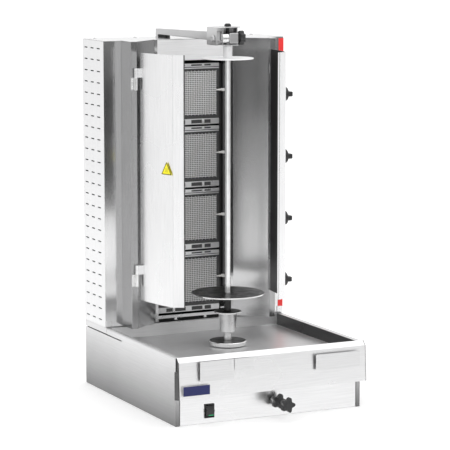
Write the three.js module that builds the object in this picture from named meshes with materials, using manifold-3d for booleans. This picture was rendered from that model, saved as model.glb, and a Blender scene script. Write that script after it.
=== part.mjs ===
// Vertical gas rotisserie oven for a kebab spit: a low base with a drip tray, an upright burner
// casing with four ceramic burners, two hinged heat shields, and a driven spit held at its top
// by a block on an overhead arm. Millimetres, +Z up, front towards -Y, +X to the right.
import * as THREE from "three";
import { mergeVertices } from "three/addons/utils/BufferGeometryUtils.js";
import Module from "manifold-3d";

// ---- driving dimensions -------------------------------------------------------------------
const SHEET = 1.2; // steel sheet of every panel
const GAP = 0.3; // space kept between pieces that rest on each other

const BASE_HALF_WIDTH = 270;
const BASE_DEPTH = 597.6;
const BASE_SIDE_TOP = 178;
const PANEL_REVEAL = 11.2; // front flange of each base side panel

const TRAY_FLOOR_TOP = 146;
const TRAY_FRONT = -12;
const TRAY_BACK = 455;
const TRAY_HALF_WIDTH = 258;
const TRAY_RIM_TOP = 179.5;
const TRAY_RIM_BACK = 446;

const FASCIA_HALF_WIDTH = 273;
const FASCIA_DEPTH = 34;
const FASCIA_BOTTOM = 70;
const FASCIA_TOP = 181;

const CASING_HALF_WIDTH = 272;
const CASING_FRONT = 450;
const CASING_BOTTOM = 181.3;
const CASING_TOP = 962.5;
const PILLAR_BOTTOM = 183;
const PILLAR_FRONT = 390;
const PILLAR_OUTER_X = 220;
const PILLAR_INNER_X = 200;
const BAY_BACK = 457; // plane of the burner opening
const BAY_HALF_WIDTH = 110.5; // half of the burner opening

const BURNER_HEIGHTS = [811, 637, 463, 289]; // burner centres, the top one first
const BURNER_CENTRE_X = -11;
const BURNER_FRONT = 472;
const BURNER_DEPTH = 60;
const SCREEN_HALF_WIDTH = 91;
const SCREEN_HALF_HEIGHT = 66;
const FLANGE_SIDE = 6; // housing beyond the screen at each side, above and below it
const FLANGE_ABOVE = 16.5;
const FLANGE_BELOW = 21.5;
const HEADER_BOTTOM = 902;

const SPIT_Y = 248;
const SPIT_RADIUS = 7.25;
const CARRIAGE_TRAVEL = 30;

const CONTROL_X = 17; // adjuster rod axis
const CONTROL_Z = 42.5;
const PULL_KNOB_FRONT = -76;

const SWITCH_X = -174.5;
const SWITCH_Z = 33;
const ROCKER_TILT = 10; // degrees each way from the middle

const HINGE_X = 206;
const HINGE_Y = 384;
const HINGE_CENTRES = [862, 329];
const HINGE_HALF_LENGTH = 29;
const HINGE_JOINT = 4; // the barrel's upper end above the hinge's middle
const SHIELD_BOTTOM = 262;
const SHIELD_TOP = 933;
const RIGHT_SHIELD_OPEN = 2.2; // degrees that the right shield stands wider than the left one

const VALVE_HEIGHTS = [800, 624.5, 449, 273.5];
const VALVE_Y = 466;
const VALVE_STEM_RADIUS = 4;
const VALVE_PUSH = 3;
const BURNER_KNOB_TIP = 303;

const ARM_LEFT = -45.5;
const ARM_THICKNESS = 13.5;
const ARM_BOTTOM = 968;
const ARM_TOP = 992;
const POST_BACK = 621;
const BLOCK = { left: -49, right: 22.5, front: 216, back: 277, bottom: 955, top: 1005, wall: 2.5 };

// The group's origin is the middle of the whole oven's footprint, on the counter.
const CENTRE_X = (BURNER_KNOB_TIP - FASCIA_HALF_WIDTH) / 2;
const CENTRE_Y = (PULL_KNOB_FRONT + POST_BACK) / 2;

// ---- solid helpers ------------------------------------------------------------------------
const wasm = await Module();
wasm.setup();

function toSolid(geometry) {
  const bare = geometry.index ? geometry.toNonIndexed() : geometry.clone();
  bare.deleteAttribute("normal");
  bare.deleteAttribute("uv");
  const merged = mergeVertices(bare, 1e-4);
  return new wasm.Manifold(
    new wasm.Mesh({
      numProp: 3,
      vertProperties: merged.attributes.position.array,
      triVerts: new Uint32Array(merged.index.array),
    }),
  );
}

function toGeometry(solid) {
  const mesh = solid.getMesh();
  const geometry = new THREE.BufferGeometry();
  geometry.setAttribute("position", new THREE.BufferAttribute(new Float32Array(mesh.vertProperties), 3));
  geometry.setIndex(new THREE.BufferAttribute(new Uint32Array(mesh.triVerts), 1));
  geometry.computeVertexNormals();
  return geometry;
}

function join(...geometries) {
  const solids = geometries.map(toSolid);
  return toGeometry(solids.reduce((whole, piece) => whole.add(piece)));
}

function cut(geometry, ...tools) {
  return toGeometry(tools.map(toSolid).reduce((rest, tool) => rest.subtract(tool), toSolid(geometry)));
}

function box([x0, x1], [y0, y1], [z0, z1]) {
  const solid = new THREE.BoxGeometry(x1 - x0, y1 - y0, z1 - z0);
  return solid.translate((x0 + x1) / 2, (y0 + y1) / 2, (z0 + z1) / 2);
}

function outlineShape(outline, holes = []) {
  const shape = new THREE.Shape(outline.map(([a, b]) => new THREE.Vector2(a, b)));
  shape.holes = holes.map((hole) => new THREE.Path(hole.map(([a, b]) => new THREE.Vector2(a, b))));
  return shape;
}

function extrude(outline, depth, holes) {
  return new THREE.ExtrudeGeometry(outlineShape(outline, holes), { depth, bevelEnabled: false });
}

// An outline of (x, y) points standing from z0 to z1.
function prismZ(outline, [z0, z1], holes) {
  return extrude(outline, z1 - z0, holes).translate(0, 0, z0);
}

// An outline of (x, z) points running from y0 to y1.
function prismY(outline, [y0, y1], holes) {
  return extrude(outline, y1 - y0, holes).rotateX(Math.PI / 2).translate(0, y1, 0);
}

// An outline of (y, z) points running from x0 to x1.
function prismX(outline, [x0, x1], holes) {
  const turn = new THREE.Matrix4().set(0, 0, 1, 0, 1, 0, 0, 0, 0, 1, 0, 0, 0, 0, 0, 1);
  return extrude(outline, x1 - x0, holes).applyMatrix4(turn).translate(x0, 0, 0);
}

// A solid of revolution about +Z from (radius, height) points, listed bottom to top outside.
function turned(profile, segments = 32) {
  const points = profile.map(([radius, height]) => new THREE.Vector2(radius, height));
  return new THREE.LatheGeometry(points, segments).rotateX(Math.PI / 2);
}

function rod(radius, [from, to], segments = 24) {
  return turned([[0, from], [radius, from], [radius, to], [0, to]], segments);
}

function alongX(geometry) {
  return geometry.rotateY(Math.PI / 2);
}

function alongY(geometry) {
  return geometry.rotateX(-Math.PI / 2);
}

function rectangle([a0, a1], [b0, b1]) {
  return [[a0, b0], [a1, b0], [a1, b1], [a0, b1]];
}

function arc([a, b], radius, fromDegrees, toDegrees, steps) {
  return Array.from({ length: steps + 1 }, (_, i) => {
    const angle = THREE.MathUtils.degToRad(fromDegrees + ((toDegrees - fromDegrees) * i) / steps);
    return [a + radius * Math.cos(angle), b + radius * Math.sin(angle)];
  });
}

function circle(centre, radius, steps = 24) {
  return arc(centre, radius, 0, 360 - 360 / steps, steps - 1);
}

function mirrored(outline) {
  return outline.map(([a, b]) => [-a, b]).reverse();
}

// Outline of a folded sheet: its outer line, and the same line moved to its left by the thickness.
function foldedSheet(line, thickness = SHEET) {
  const normals = line.slice(1).map(([x, y], i) => {
    const [dx, dy] = [x - line[i][0], y - line[i][1]];
    const length = Math.hypot(dx, dy);
    return [-dy / length, dx / length];
  });
  const inner = line.map(([x, y], i) => {
    const before = normals[Math.max(i - 1, 0)];
    const after = normals[Math.min(i, normals.length - 1)];
    const sum = [before[0] + after[0], before[1] + after[1]];
    const scale = (2 * thickness) / (sum[0] ** 2 + sum[1] ** 2);
    return [x + sum[0] * scale, y + sum[1] * scale];
  });
  return [...line, ...inner.reverse()];
}

// Outline of a knob with rounded lobes.
function lobedOutline(radius, lobes = 5, depth = 0.17, steps = 50) {
  return Array.from({ length: steps }, (_, i) => {
    const angle = (2 * Math.PI * i) / steps;
    const reach = radius * (1 - depth + depth * Math.cos(lobes * angle));
    return [reach * Math.cos(angle), reach * Math.sin(angle)];
  });
}

// ---- finishes -----------------------------------------------------------------------------
const FINISHES = {
  steel: { color: 0xc9cacb, roughness: 0.32, metalness: 0.9 },
  polished: { color: 0xdadbdc, roughness: 0.18, metalness: 0.95 },
  innerSteel: { color: 0x9b9c9e, roughness: 0.4, metalness: 0.85 },
  blackPlastic: { color: 0x121214, roughness: 0.45, metalness: 0 },
  ceramic: { color: 0xb9b4ab, roughness: 0.9, metalness: 0 },
  brass: { color: 0xb08d3c, roughness: 0.35, metalness: 0.9 },
  motor: { color: 0x4c4f54, roughness: 0.5, metalness: 0.6 },
  rubber: { color: 0x17171a, roughness: 0.85, metalness: 0 },
};

const oven = new THREE.Group();
oven.position.set(-CENTRE_X, -CENTRE_Y, 0);

function add(name, geometry, finish = "steel") {
  const mesh = new THREE.Mesh(geometry, new THREE.MeshStandardMaterial(FINISHES[finish]));
  mesh.name = name;
  oven.add(mesh);
  return mesh;
}

// ---- base ---------------------------------------------------------------------------------
// Each side panel has a narrow slit near its top at the back, under the tab that carries the tray.
function baseSide(side) {
  const slit = { bottom: 161, top: 163.6, front: 346, back: 447 };
  const outline = [
    [0, 0],
    [BASE_DEPTH, 0],
    [BASE_DEPTH, slit.bottom],
    [slit.front, slit.bottom],
    [slit.front, slit.top],
    [slit.back, slit.top],
    [slit.back, BASE_SIDE_TOP],
    [0, BASE_SIDE_TOP],
  ];
  const [inner, outer] = [BASE_HALF_WIDTH - SHEET, BASE_HALF_WIDTH];
  const flangeInner = BASE_HALF_WIDTH - PANEL_REVEAL;
  const panelSpan = side < 0 ? [-outer, -inner] : [inner, outer];
  const flangeSpan = side < 0 ? [-outer, -flangeInner] : [flangeInner, outer];
  return join(prismX(outline, panelSpan), box(flangeSpan, [0, SHEET], [0, 143]));
}

const panelHalfWidth = BASE_HALF_WIDTH - PANEL_REVEAL - 1.5;
const switchHole = rectangle([SWITCH_X - 14, SWITCH_X + 14], [SWITCH_Z - 18.5, SWITCH_Z + 18.5]);
const frontPanel = prismY(
  rectangle([-panelHalfWidth, panelHalfWidth], [1, 143]),
  [0.5, 0.5 + SHEET],
  [switchHole, circle([CONTROL_X, CONTROL_Z], 6)],
);

const floorPan = cut(
  prismX(
    [[2.5, 0], [596.4, 0], [596.4, 160], [595.2, 160], [595.2, SHEET], [2.5, SHEET]],
    [-BASE_HALF_WIDTH + SHEET + GAP, BASE_HALF_WIDTH - SHEET - GAP],
  ),
  alongY(rod(7, [590, 600])).translate(-215, 0, 45),
);

const cableGland = join(
  alongY(rod(6.7, [588, 597])),
  alongY(turned([[0, 596.7], [11, 596.7], [11, 602], [8, 606], [0, 606]], 24)),
).translate(-215, 0, 45);

add("base_left_side", baseSide(-1));
add("base_right_side", baseSide(1));
add("base_front_panel", frontPanel);
add("base_floor_pan", floorPan, "innerSteel");
add("cable_gland", cableGland, "blackPlastic");

// ---- drip tray and its fascia ---------------------------------------------------------------
// The tray floor has a slot with a raised lip, through which the drive shaft travels.
function dripTray() {
  const floorBottom = TRAY_FLOOR_TOP - SHEET;
  const inner = TRAY_HALF_WIDTH - SHEET;
  const slot = { halfWidth: 14, front: SPIT_Y - 14, back: SPIT_Y + CARRIAGE_TRAVEL + 14, lipTop: 147.2 };
  const lip = box(
    [-slot.halfWidth - SHEET, slot.halfWidth + SHEET],
    [slot.front - SHEET, slot.back + SHEET],
    [floorBottom, slot.lipTop],
  );
  const pan = cut(
    box([-TRAY_HALF_WIDTH, TRAY_HALF_WIDTH], [TRAY_FRONT, TRAY_BACK], [floorBottom, TRAY_RIM_TOP]),
    box([-inner, inner], [TRAY_FRONT + SHEET, TRAY_BACK - SHEET], [TRAY_FLOOR_TOP, TRAY_RIM_TOP + 5]),
  );
  const rims = [-1, 1].map((side) => {
    const [inside, outside] = [TRAY_HALF_WIDTH - 0.5, BASE_HALF_WIDTH];
    const span = side < 0 ? [-outside, -inside] : [inside, outside];
    return box(span, [TRAY_FRONT, TRAY_RIM_BACK], [TRAY_RIM_TOP - SHEET, TRAY_RIM_TOP]);
  });
  const body = join(pan, ...rims, lip);
  const slotHole = box(
    [-slot.halfWidth, slot.halfWidth],
    [slot.front, slot.back],
    [floorBottom - 1, slot.lipTop + 1],
  );
  return cut(body, slotHole);
}

// A folded front with a rounded upper edge and closed ends. Its back is open, and the tray reaches into it.
function trayFascia() {
  const wall = 1.5;
  const lip = { back: TRAY_FRONT + 1.5, bottom: FASCIA_TOP - SHEET };
  const notch = { front: TRAY_FRONT - 1.5, bottom: TRAY_FLOOR_TOP - 2.5 };
  const upper = { radius: 12, middle: [-FASCIA_DEPTH + 12, FASCIA_TOP - 12] };
  const lower = { radius: 6, middle: [-FASCIA_DEPTH + 6, FASCIA_BOTTOM + 6] };
  const curve = (inset) => [
    ...arc(upper.middle, upper.radius - inset, 90, 180, 6),
    ...arc(lower.middle, lower.radius - inset, 180, 270, 4),
  ];
  const outside = [
    [lip.back, FASCIA_TOP],
    ...curve(0),
    [-GAP, FASCIA_BOTTOM],
    [-GAP, notch.bottom],
    [notch.front, notch.bottom],
    [notch.front, lip.bottom],
    [lip.back, lip.bottom],
  ];
  const inside = [[1, FASCIA_TOP - wall], ...curve(wall), [1, FASCIA_BOTTOM + wall]];
  const shell = prismX([...outside].reverse(), [-FASCIA_HALF_WIDTH, FASCIA_HALF_WIDTH]);
  const hollow = prismX([...inside].reverse(), [-FASCIA_HALF_WIDTH + wall, FASCIA_HALF_WIDTH - wall]);
  return cut(shell, hollow);
}

add("drip_tray", dripTray(), "polished");
add("tray_fascia", trayFascia(), "polished");

// ---- rocker switch --------------------------------------------------------------------------
const switchHousing = cut(
  join(
    box([SWITCH_X - 16, SWITCH_X + 16], [-2.3, 0.2], [SWITCH_Z - 20.5, SWITCH_Z + 20.5]),
    box([SWITCH_X - 13.7, SWITCH_X + 13.7], [0, 22], [SWITCH_Z - 18.2, SWITCH_Z + 18.2]),
  ),
  box([SWITCH_X - 11.5, SWITCH_X + 11.5], [-5, 9], [SWITCH_Z - 15.6, SWITCH_Z + 15.6]),
);

const rockerProfile = [[-3.2, 0], [-5.6, -14.2], [4, -12], [4, 12], [-5.6, 14.2]];
const rocker = prismX(rockerProfile, [-11.2, 11.2])
  .rotateX(THREE.MathUtils.degToRad(-ROCKER_TILT))
  .translate(SWITCH_X, 1, SWITCH_Z);

add("switch_housing", switchHousing, "blackPlastic");
add("rocker", rocker, "blackPlastic");

// ---- motor carriage inside the base ---------------------------------------------------------
const RAIL_X = 70;
for (const [name, x] of [["rail_left", -RAIL_X], ["rail_right", RAIL_X]]) {
  add(name, box([x - 6, x + 6], [60, 500], [SHEET + GAP, 20.5]), "innerSteel");
}

const carriage = join(
  box([-85, 85], [SPIT_Y - 58, SPIT_Y + 58], [20.8, 23.8]),
  box([-80, -77], [SPIT_Y - 58, SPIT_Y + 58], [8, 23.8]),
  box([77, 80], [SPIT_Y - 58, SPIT_Y + 58], [8, 23.8]),
  box([CONTROL_X - 12, CONTROL_X + 12], [SPIT_Y - 58, SPIT_Y - 55], [23, 56]),
);
const gearMotor = join(
  box([-40, 40], [SPIT_Y - 36, SPIT_Y + 36], [24.1, 84]),
  rod(22, [83, 100]).translate(0, SPIT_Y, 0),
);
const adjusterRod = alongY(rod(5, [-62, SPIT_Y - 58 - GAP], 20)).translate(CONTROL_X, 0, CONTROL_Z);

add("motor_carriage", carriage, "innerSteel");
add("gear_motor", gearMotor, "motor");
add("adjuster_rod", adjusterRod, "polished");

// ---- front control knobs --------------------------------------------------------------------
const STAR_RADIUS = 20.5;
const starProfile = lobedOutline(STAR_RADIUS).map(([x, z]) => [x + CONTROL_X, z + CONTROL_Z]);
const controlAxis = [CONTROL_X, CONTROL_Z];

const pullKnob = cut(
  prismY(starProfile, [PULL_KNOB_FRONT, PULL_KNOB_FRONT + 15]),
  prismY(circle(controlAxis, 5.3), [PULL_KNOB_FRONT + 13.7, 0]),
);
const lockKnob = prismY(starProfile, [-27, -13.5], [circle(controlAxis, 5.4)]);
const lockBushing = join(
  prismY(circle(controlAxis, 9), [-13.2, 0.2], [circle(controlAxis, 5.5)]),
  prismY(circle(controlAxis, 5.9), [0, 4], [circle(controlAxis, 5.5)]),
);

add("pull_knob", pullKnob, "blackPlastic");
add("lock_knob", lockKnob, "blackPlastic");
add("lock_bushing", lockBushing);

// ---- spit and what turns with it ------------------------------------------------------------
function addOnSpit(name, geometry, finish) {
  add(name, geometry.translate(0, SPIT_Y, 0), finish);
}

const cupProfile = [
  [9.3, 159.8],
  [10.6, 159.8],
  [10.6, 183.5],
  [21, 183.5],
  [25, 233],
  [25, 236.5],
  [37, 236.5],
  [37, 239.5],
  [8, 239.5],
  [8, 195.5],
  [3, 193.5],
  [3, 182],
  [9.3, 182],
  [9.3, 159.8],
];
const splashProfile = [
  [9.3, 147.5],
  [49.5, 147.5],
  [50.8, 149],
  [50.8, 157.5],
  [49.5, 159.5],
  [9.3, 159.5],
  [9.3, 147.5],
];
const lowerDiscProfile = [
  [7.55, 239.8],
  [9.6, 239.8],
  [9.6, 287.5],
  [98, 287.5],
  [98, 290.5],
  [7.55, 290.5],
  [7.55, 239.8],
];
const upperDiscProfile = [
  [7.55, 918.5],
  [69, 918.5],
  [69, 921.5],
  [12.5, 921.5],
  [12.5, 953],
  [7.55, 953],
  [7.55, 918.5],
];

addOnSpit("drive_shaft", rod(9, [100.3, 181.7]), "polished");
addOnSpit("splash_disc", turned(splashProfile, 48), "polished");
addOnSpit("drive_cup", turned(cupProfile, 40), "polished");
addOnSpit("spit_shaft", rod(SPIT_RADIUS, [195.8, 985]), "polished");
addOnSpit("lower_disc", turned(lowerDiscProfile, 56), "polished");
addOnSpit("upper_disc", turned(upperDiscProfile, 48), "polished");

// ---- bearing block at the top of the spit ---------------------------------------------------
const CLAMP_Y = 225;
const CLAMP_Z = 975;
const CLAMP_BARREL = 14.5;
const NUT = { left: -12, right: 14, half: 13.5 };

// An open frame: the arm slides in its left bay, and a square nut for the clamp stands in its right one.
function bearingBlock() {
  const { left, right, front, back, bottom, top, wall } = BLOCK;
  const tunnelRight = ARM_LEFT + ARM_THICKNESS + 1;
  const frame = join(
    box([left, left + wall], [front, back], [bottom, top]),
    box([tunnelRight, tunnelRight + wall], [front, back], [bottom, top]),
    box([NUT.right - wall, NUT.right], [front, back], [bottom, top]),
    box([left, right], [front, back], [top - wall, top]),
    box([left, NUT.right + 2], [front, back], [bottom, bottom + wall]),
    box([tunnelRight, NUT.right], [back - wall, back], [bottom, top]),
    box(
      [NUT.left, NUT.right],
      [CLAMP_Y - NUT.half, CLAMP_Y + NUT.half],
      [CLAMP_Z - NUT.half, CLAMP_Z + NUT.half],
    ),
  );
  return cut(
    frame,
    rod(8, [bottom - 1, bottom + wall + 1]).translate(0, SPIT_Y, 0),
    rod(4.4, [top - wall - 1, top + 1]).translate(0, SPIT_Y, 0),
    alongX(rod(5.4, [NUT.left - 1, NUT.right + 1])).translate(0, CLAMP_Y, CLAMP_Z),
    alongX(rod(CLAMP_BARREL + 0.5, [tunnelRight - 1, NUT.left - GAP])).translate(0, CLAMP_Y, CLAMP_Z),
  );
}

const topPin = join(
  rod(4, [985.5, 1006]),
  turned([[0, 1005.3], [10, 1005.3], [10, 1009.5], [6.5, 1012], [0, 1012]], 6),
).translate(0, SPIT_Y, 0);

// The clamp's barrel presses on the arm inside the block, so its end stops just short of it.
const clampTip = ARM_LEFT + ARM_THICKNESS + GAP;
const clampKnob = join(
  alongX(rod(5, [clampTip, 20], 20)),
  alongX(rod(CLAMP_BARREL, [clampTip, NUT.left - 2 * GAP], 28)),
  alongX(rod(10, [NUT.right + GAP, 20])),
  prismX(lobedOutline(19.5, 6, 0.12, 48), [19, 34]),
  alongX(rod(12, [33, 37])),
).translate(0, CLAMP_Y, CLAMP_Z);

add("bearing_block", bearingBlock());
add("top_pin", topPin, "blackPlastic");
add("clamp_knob", clampKnob, "blackPlastic");

// ---- arm that carries the block -------------------------------------------------------------
const armSpan = [ARM_LEFT, ARM_LEFT + ARM_THICKNESS];
const spitArm = prismX(
  [
    [225, ARM_BOTTOM],
    [BASE_DEPTH + GAP, ARM_BOTTOM],
    [BASE_DEPTH + GAP, 200],
    [POST_BACK, 200],
    [POST_BACK, ARM_TOP],
    [225, ARM_TOP],
  ],
  armSpan,
);
add("spit_arm", spitArm);
add("arm_pad", box(armSpan, [545, 597], [CASING_TOP + GAP, ARM_BOTTOM - GAP]), "rubber");

// ---- burner casing --------------------------------------------------------------------------
const SLOT_LENGTH = 23;
const SLOT_HEIGHT = 5;
const SLOT_COLUMNS = [573, 530, 487];
const SLOT_ROWS = Array.from({ length: 25 }, (_, row) => 199 + (row * 741) / 24);

// Ventilation slots through a side panel, as cutting blocks.
function slots(columns, side) {
  const x = side * (CASING_HALF_WIDTH - SHEET / 2);
  return columns.flatMap((y) =>
    SLOT_ROWS.map((z) => new THREE.BoxGeometry(4, SLOT_LENGTH, SLOT_HEIGHT).translate(x, y, z)),
  );
}

const sidePanelSpans = [
  [CASING_FRONT + SHEET + GAP, BASE_DEPTH],
  [CASING_BOTTOM, CASING_TOP - SHEET - GAP],
];
const leftSide = cut(
  box([-CASING_HALF_WIDTH, -CASING_HALF_WIDTH + SHEET], ...sidePanelSpans),
  ...slots(SLOT_COLUMNS, -1),
);
const stemHoles = VALVE_HEIGHTS.map((z) => alongX(rod(6, [260, 280])).translate(0, VALVE_Y, z));
const rightSide = cut(
  box([CASING_HALF_WIDTH - SHEET, CASING_HALF_WIDTH], ...sidePanelSpans),
  ...slots(SLOT_COLUMNS.slice(0, 2), 1),
  ...stemHoles,
);

// Plan line of the left pillar: front face, step forward, slanted bay wall and edge strip.
const pillarLine = [
  [-CASING_HALF_WIDTH, CASING_FRONT],
  [-PILLAR_OUTER_X, CASING_FRONT],
  [-PILLAR_OUTER_X, PILLAR_FRONT],
  [-PILLAR_INNER_X, PILLAR_FRONT],
  [-BAY_HALF_WIDTH - 9.5, BAY_BACK],
  [-BAY_HALF_WIDTH, BAY_BACK],
];
const pillarSpan = [PILLAR_BOTTOM, CASING_TOP - SHEET - GAP];

const topOutline = [
  [-CASING_HALF_WIDTH, BASE_DEPTH],
  ...pillarLine.slice(0, 5),
  ...mirrored(pillarLine.slice(0, 5)),
  [CASING_HALF_WIDTH, BASE_DEPTH],
];

const skirtBottom = 163.9;
const skirtTop = CASING_BOTTOM - 0.6;
const casingFloor = join(
  box([-BASE_HALF_WIDTH, BASE_HALF_WIDTH], [TRAY_BACK + 1, BASE_DEPTH], [skirtTop - SHEET, skirtTop]),
  box([-BASE_HALF_WIDTH, -BASE_HALF_WIDTH + SHEET], [449, BASE_DEPTH], [skirtBottom, skirtTop]),
  box([BASE_HALF_WIDTH - SHEET, BASE_HALF_WIDTH], [449, BASE_DEPTH], [skirtBottom, skirtTop]),
);

const GAS_PIPE_X = 244;
const GAS_INLET_Z = 222;
const backPanel = prismY(
  rectangle([-270.5, 270.5], [CASING_BOTTOM, CASING_TOP - SHEET - GAP]),
  [595.9, 597.1],
  [circle([GAS_PIPE_X, GAS_INLET_Z], 9)],
);

const headerSpan = [-BAY_HALF_WIDTH + GAP, BAY_HALF_WIDTH - GAP];
const header = join(
  box(headerSpan, [BAY_BACK, BAY_BACK + SHEET], [HEADER_BOTTOM, CASING_TOP - SHEET - GAP]),
  box(headerSpan, [BAY_BACK, BAY_BACK + 14], [HEADER_BOTTOM, HEADER_BOTTOM + SHEET]),
);

add("casing_floor", casingFloor);
add("casing_left_side", leftSide);
add("casing_right_side", rightSide);
add("casing_left_pillar", prismZ(foldedSheet(pillarLine), pillarSpan));
add("casing_right_pillar", prismZ(foldedSheet(mirrored(pillarLine)), pillarSpan));
add("casing_back", backPanel);
add("casing_top", prismZ(topOutline, [CASING_TOP - SHEET, CASING_TOP]));
add("burner_header", header);

// ---- burners --------------------------------------------------------------------------------
// Each housing is a sheet box: a plaque sits in its open front, its gas chamber is open at the back.
BURNER_HEIGHTS.forEach((z, i) => {
  const wall = 2;
  const wide = [BURNER_CENTRE_X - SCREEN_HALF_WIDTH, BURNER_CENTRE_X + SCREEN_HALF_WIDTH];
  const high = [z - SCREEN_HALF_HEIGHT, z + SCREEN_HALF_HEIGHT];
  const outerWide = [wide[0] - FLANGE_SIDE, wide[1] + FLANGE_SIDE];
  const outerHigh = [high[0] - FLANGE_BELOW, high[1] + FLANGE_ABOVE];
  const innerWide = [outerWide[0] + wall, outerWide[1] - wall];
  const innerHigh = [outerHigh[0] + wall, outerHigh[1] - wall];
  const lined = [BURNER_FRONT + 1.5, BURNER_FRONT + 30];
  const housing = cut(
    box(outerWide, [BURNER_FRONT, BURNER_FRONT + BURNER_DEPTH], outerHigh),
    box(wide, [BURNER_FRONT - 1, BURNER_FRONT + 27], high),
    box(innerWide, [BURNER_FRONT + 29, BURNER_FRONT + BURNER_DEPTH + 1], innerHigh),
    box(innerWide, lined, [innerHigh[0], high[0] - wall]),
    box(innerWide, lined, [high[1] + wall, innerHigh[1]]),
  );
  const plaque = box(
    [wide[0] + 0.5, wide[1] - 0.5],
    [BURNER_FRONT + 12, BURNER_FRONT + 26],
    [high[0] + 0.5, high[1] - 0.5],
  );
  add(`burner_housing_${i + 1}`, housing, "innerSteel");
  add(`burner_plaque_${i + 1}`, plaque, "ceramic");
});

// Upright channel beside the burners, with one flame-sensor tip reaching over each of them.
const SENSOR_RISE = 7.5; // sensor above its burner's centre
const SENSOR_CHANNEL = [88, 102];
const sensorTips = BURNER_HEIGHTS.flatMap((z) => [
  alongX(rod(2.4, [76, 98], 12)).translate(0, BURNER_FRONT - 3.5, z + SENSOR_RISE),
  box([91, 98], [BURNER_FRONT - 6, BURNER_FRONT + 4], [z + SENSOR_RISE - 4, z + SENSOR_RISE + 4]),
]);
const sensorChannel = box(SENSOR_CHANNEL, [BURNER_FRONT + 2, BURNER_FRONT + 16], [220, 890]);
const sensorRail = join(sensorChannel, ...sensorTips);
add("sensor_rail", sensorRail, "innerSteel");

// ---- gas supply, valves and burner knobs ----------------------------------------------------
const manifoldPieces = VALVE_HEIGHTS.map((z) => alongX(rod(12, [GAS_PIPE_X, 262])).translate(0, VALVE_Y, z));
const stemSockets = VALVE_HEIGHTS.map((z) => alongX(rod(4.4, [256, 263])).translate(0, VALVE_Y, z));
const gasManifold = cut(
  join(
    rod(8, [GAS_INLET_Z - 8, VALVE_HEIGHTS[0] + 20]).translate(GAS_PIPE_X, VALVE_Y, 0),
    alongY(rod(8, [VALVE_Y, 612])).translate(GAS_PIPE_X, 0, GAS_INLET_Z),
    ...manifoldPieces,
  ),
  ...stemSockets,
);
add("gas_manifold", gasManifold, "brass");

const knobBack = CASING_HALF_WIDTH + VALVE_PUSH + 0.6;
const knobSkirt = [
  [0, knobBack],
  [19.5, knobBack],
  [19.5, knobBack + 13],
  [17.5, knobBack + 14.5],
  [0, knobBack + 14.5],
];
VALVE_HEIGHTS.forEach((z, i) => {
  const stem = alongX(rod(VALVE_STEM_RADIUS, [262, 292], 20)).translate(0, VALVE_Y, z);
  const knob = cut(
    join(
      alongX(turned(knobSkirt)),
      box([knobBack + 13, BURNER_KNOB_TIP], [-17.5, 17.5], [-7, 7]),
    ),
    alongX(rod(4.3, [knobBack - 1, 292.3], 20)),
  ).translate(0, VALVE_Y, z);
  add(`valve_stem_${i + 1}`, stem, "polished");
  add(`burner_knob_${i + 1}`, knob, "blackPlastic");
});

// ---- heat shields and their hinges ----------------------------------------------------------
const KNUCKLE_RADIUS = 4.2;

// Plan line of the left shield: hinge edge, bends and a turned-back free edge.
const shieldLine = [
  [-194, 386],
  [-190, 372],
  [-181.5, 285],
  [-167, 238.5],
  [-137.3, 225.3],
  [-134, 231],
];

// Each hinge has a barrel on the pillar and, above it, a knuckle on the shield.
function heatShield(side) {
  const turnOver = (outline) => (side < 0 ? outline : mirrored(outline));
  const leaf = rectangle([-HINGE_X - 2, -191.8], [HINGE_Y - 4.2, HINGE_Y - 3]);
  const knuckles = HINGE_CENTRES.flatMap((centre) => {
    const span = [centre + HINGE_JOINT + GAP, centre + HINGE_HALF_LENGTH];
    return [
      rod(KNUCKLE_RADIUS, span, 16).translate(side * HINGE_X, HINGE_Y, 0),
      prismZ(turnOver(leaf), span),
    ];
  });
  return join(prismZ(turnOver(foldedSheet(shieldLine)), [SHIELD_BOTTOM, SHIELD_TOP]), ...knuckles);
}

function turnedOpen(shield, side, degrees) {
  return shield
    .translate(-side * HINGE_X, -HINGE_Y, 0)
    .rotateZ(THREE.MathUtils.degToRad(side * degrees))
    .translate(side * HINGE_X, HINGE_Y, 0);
}

function hingeBarrel(side, centre) {
  const span = [centre - HINGE_HALF_LENGTH, centre + HINGE_JOINT];
  const leafX = side < 0 ? [-219, -HINGE_X] : [HINGE_X, 219];
  const webX = side < 0 ? [-HINGE_X - 4, -HINGE_X] : [HINGE_X, HINGE_X + 4];
  return join(
    rod(KNUCKLE_RADIUS, span, 16).translate(side * HINGE_X, HINGE_Y, 0),
    box(leafX, [PILLAR_FRONT - GAP - SHEET, PILLAR_FRONT - GAP], span),
    box(webX, [HINGE_Y + 1, PILLAR_FRONT - GAP], span),
  );
}

add("left_heat_shield", heatShield(-1), "polished");
add("right_heat_shield", turnedOpen(heatShield(1), 1, RIGHT_SHIELD_OPEN), "polished");
for (const [sideName, side] of [["left", -1], ["right", 1]]) {
  add(`hinge_${sideName}_upper`, hingeBarrel(side, HINGE_CENTRES[0]));
  add(`hinge_${sideName}_lower`, hingeBarrel(side, HINGE_CENTRES[1]));
}

export default oven;
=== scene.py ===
import math

import bmesh
import bpy
from mathutils import Matrix, Vector


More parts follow.
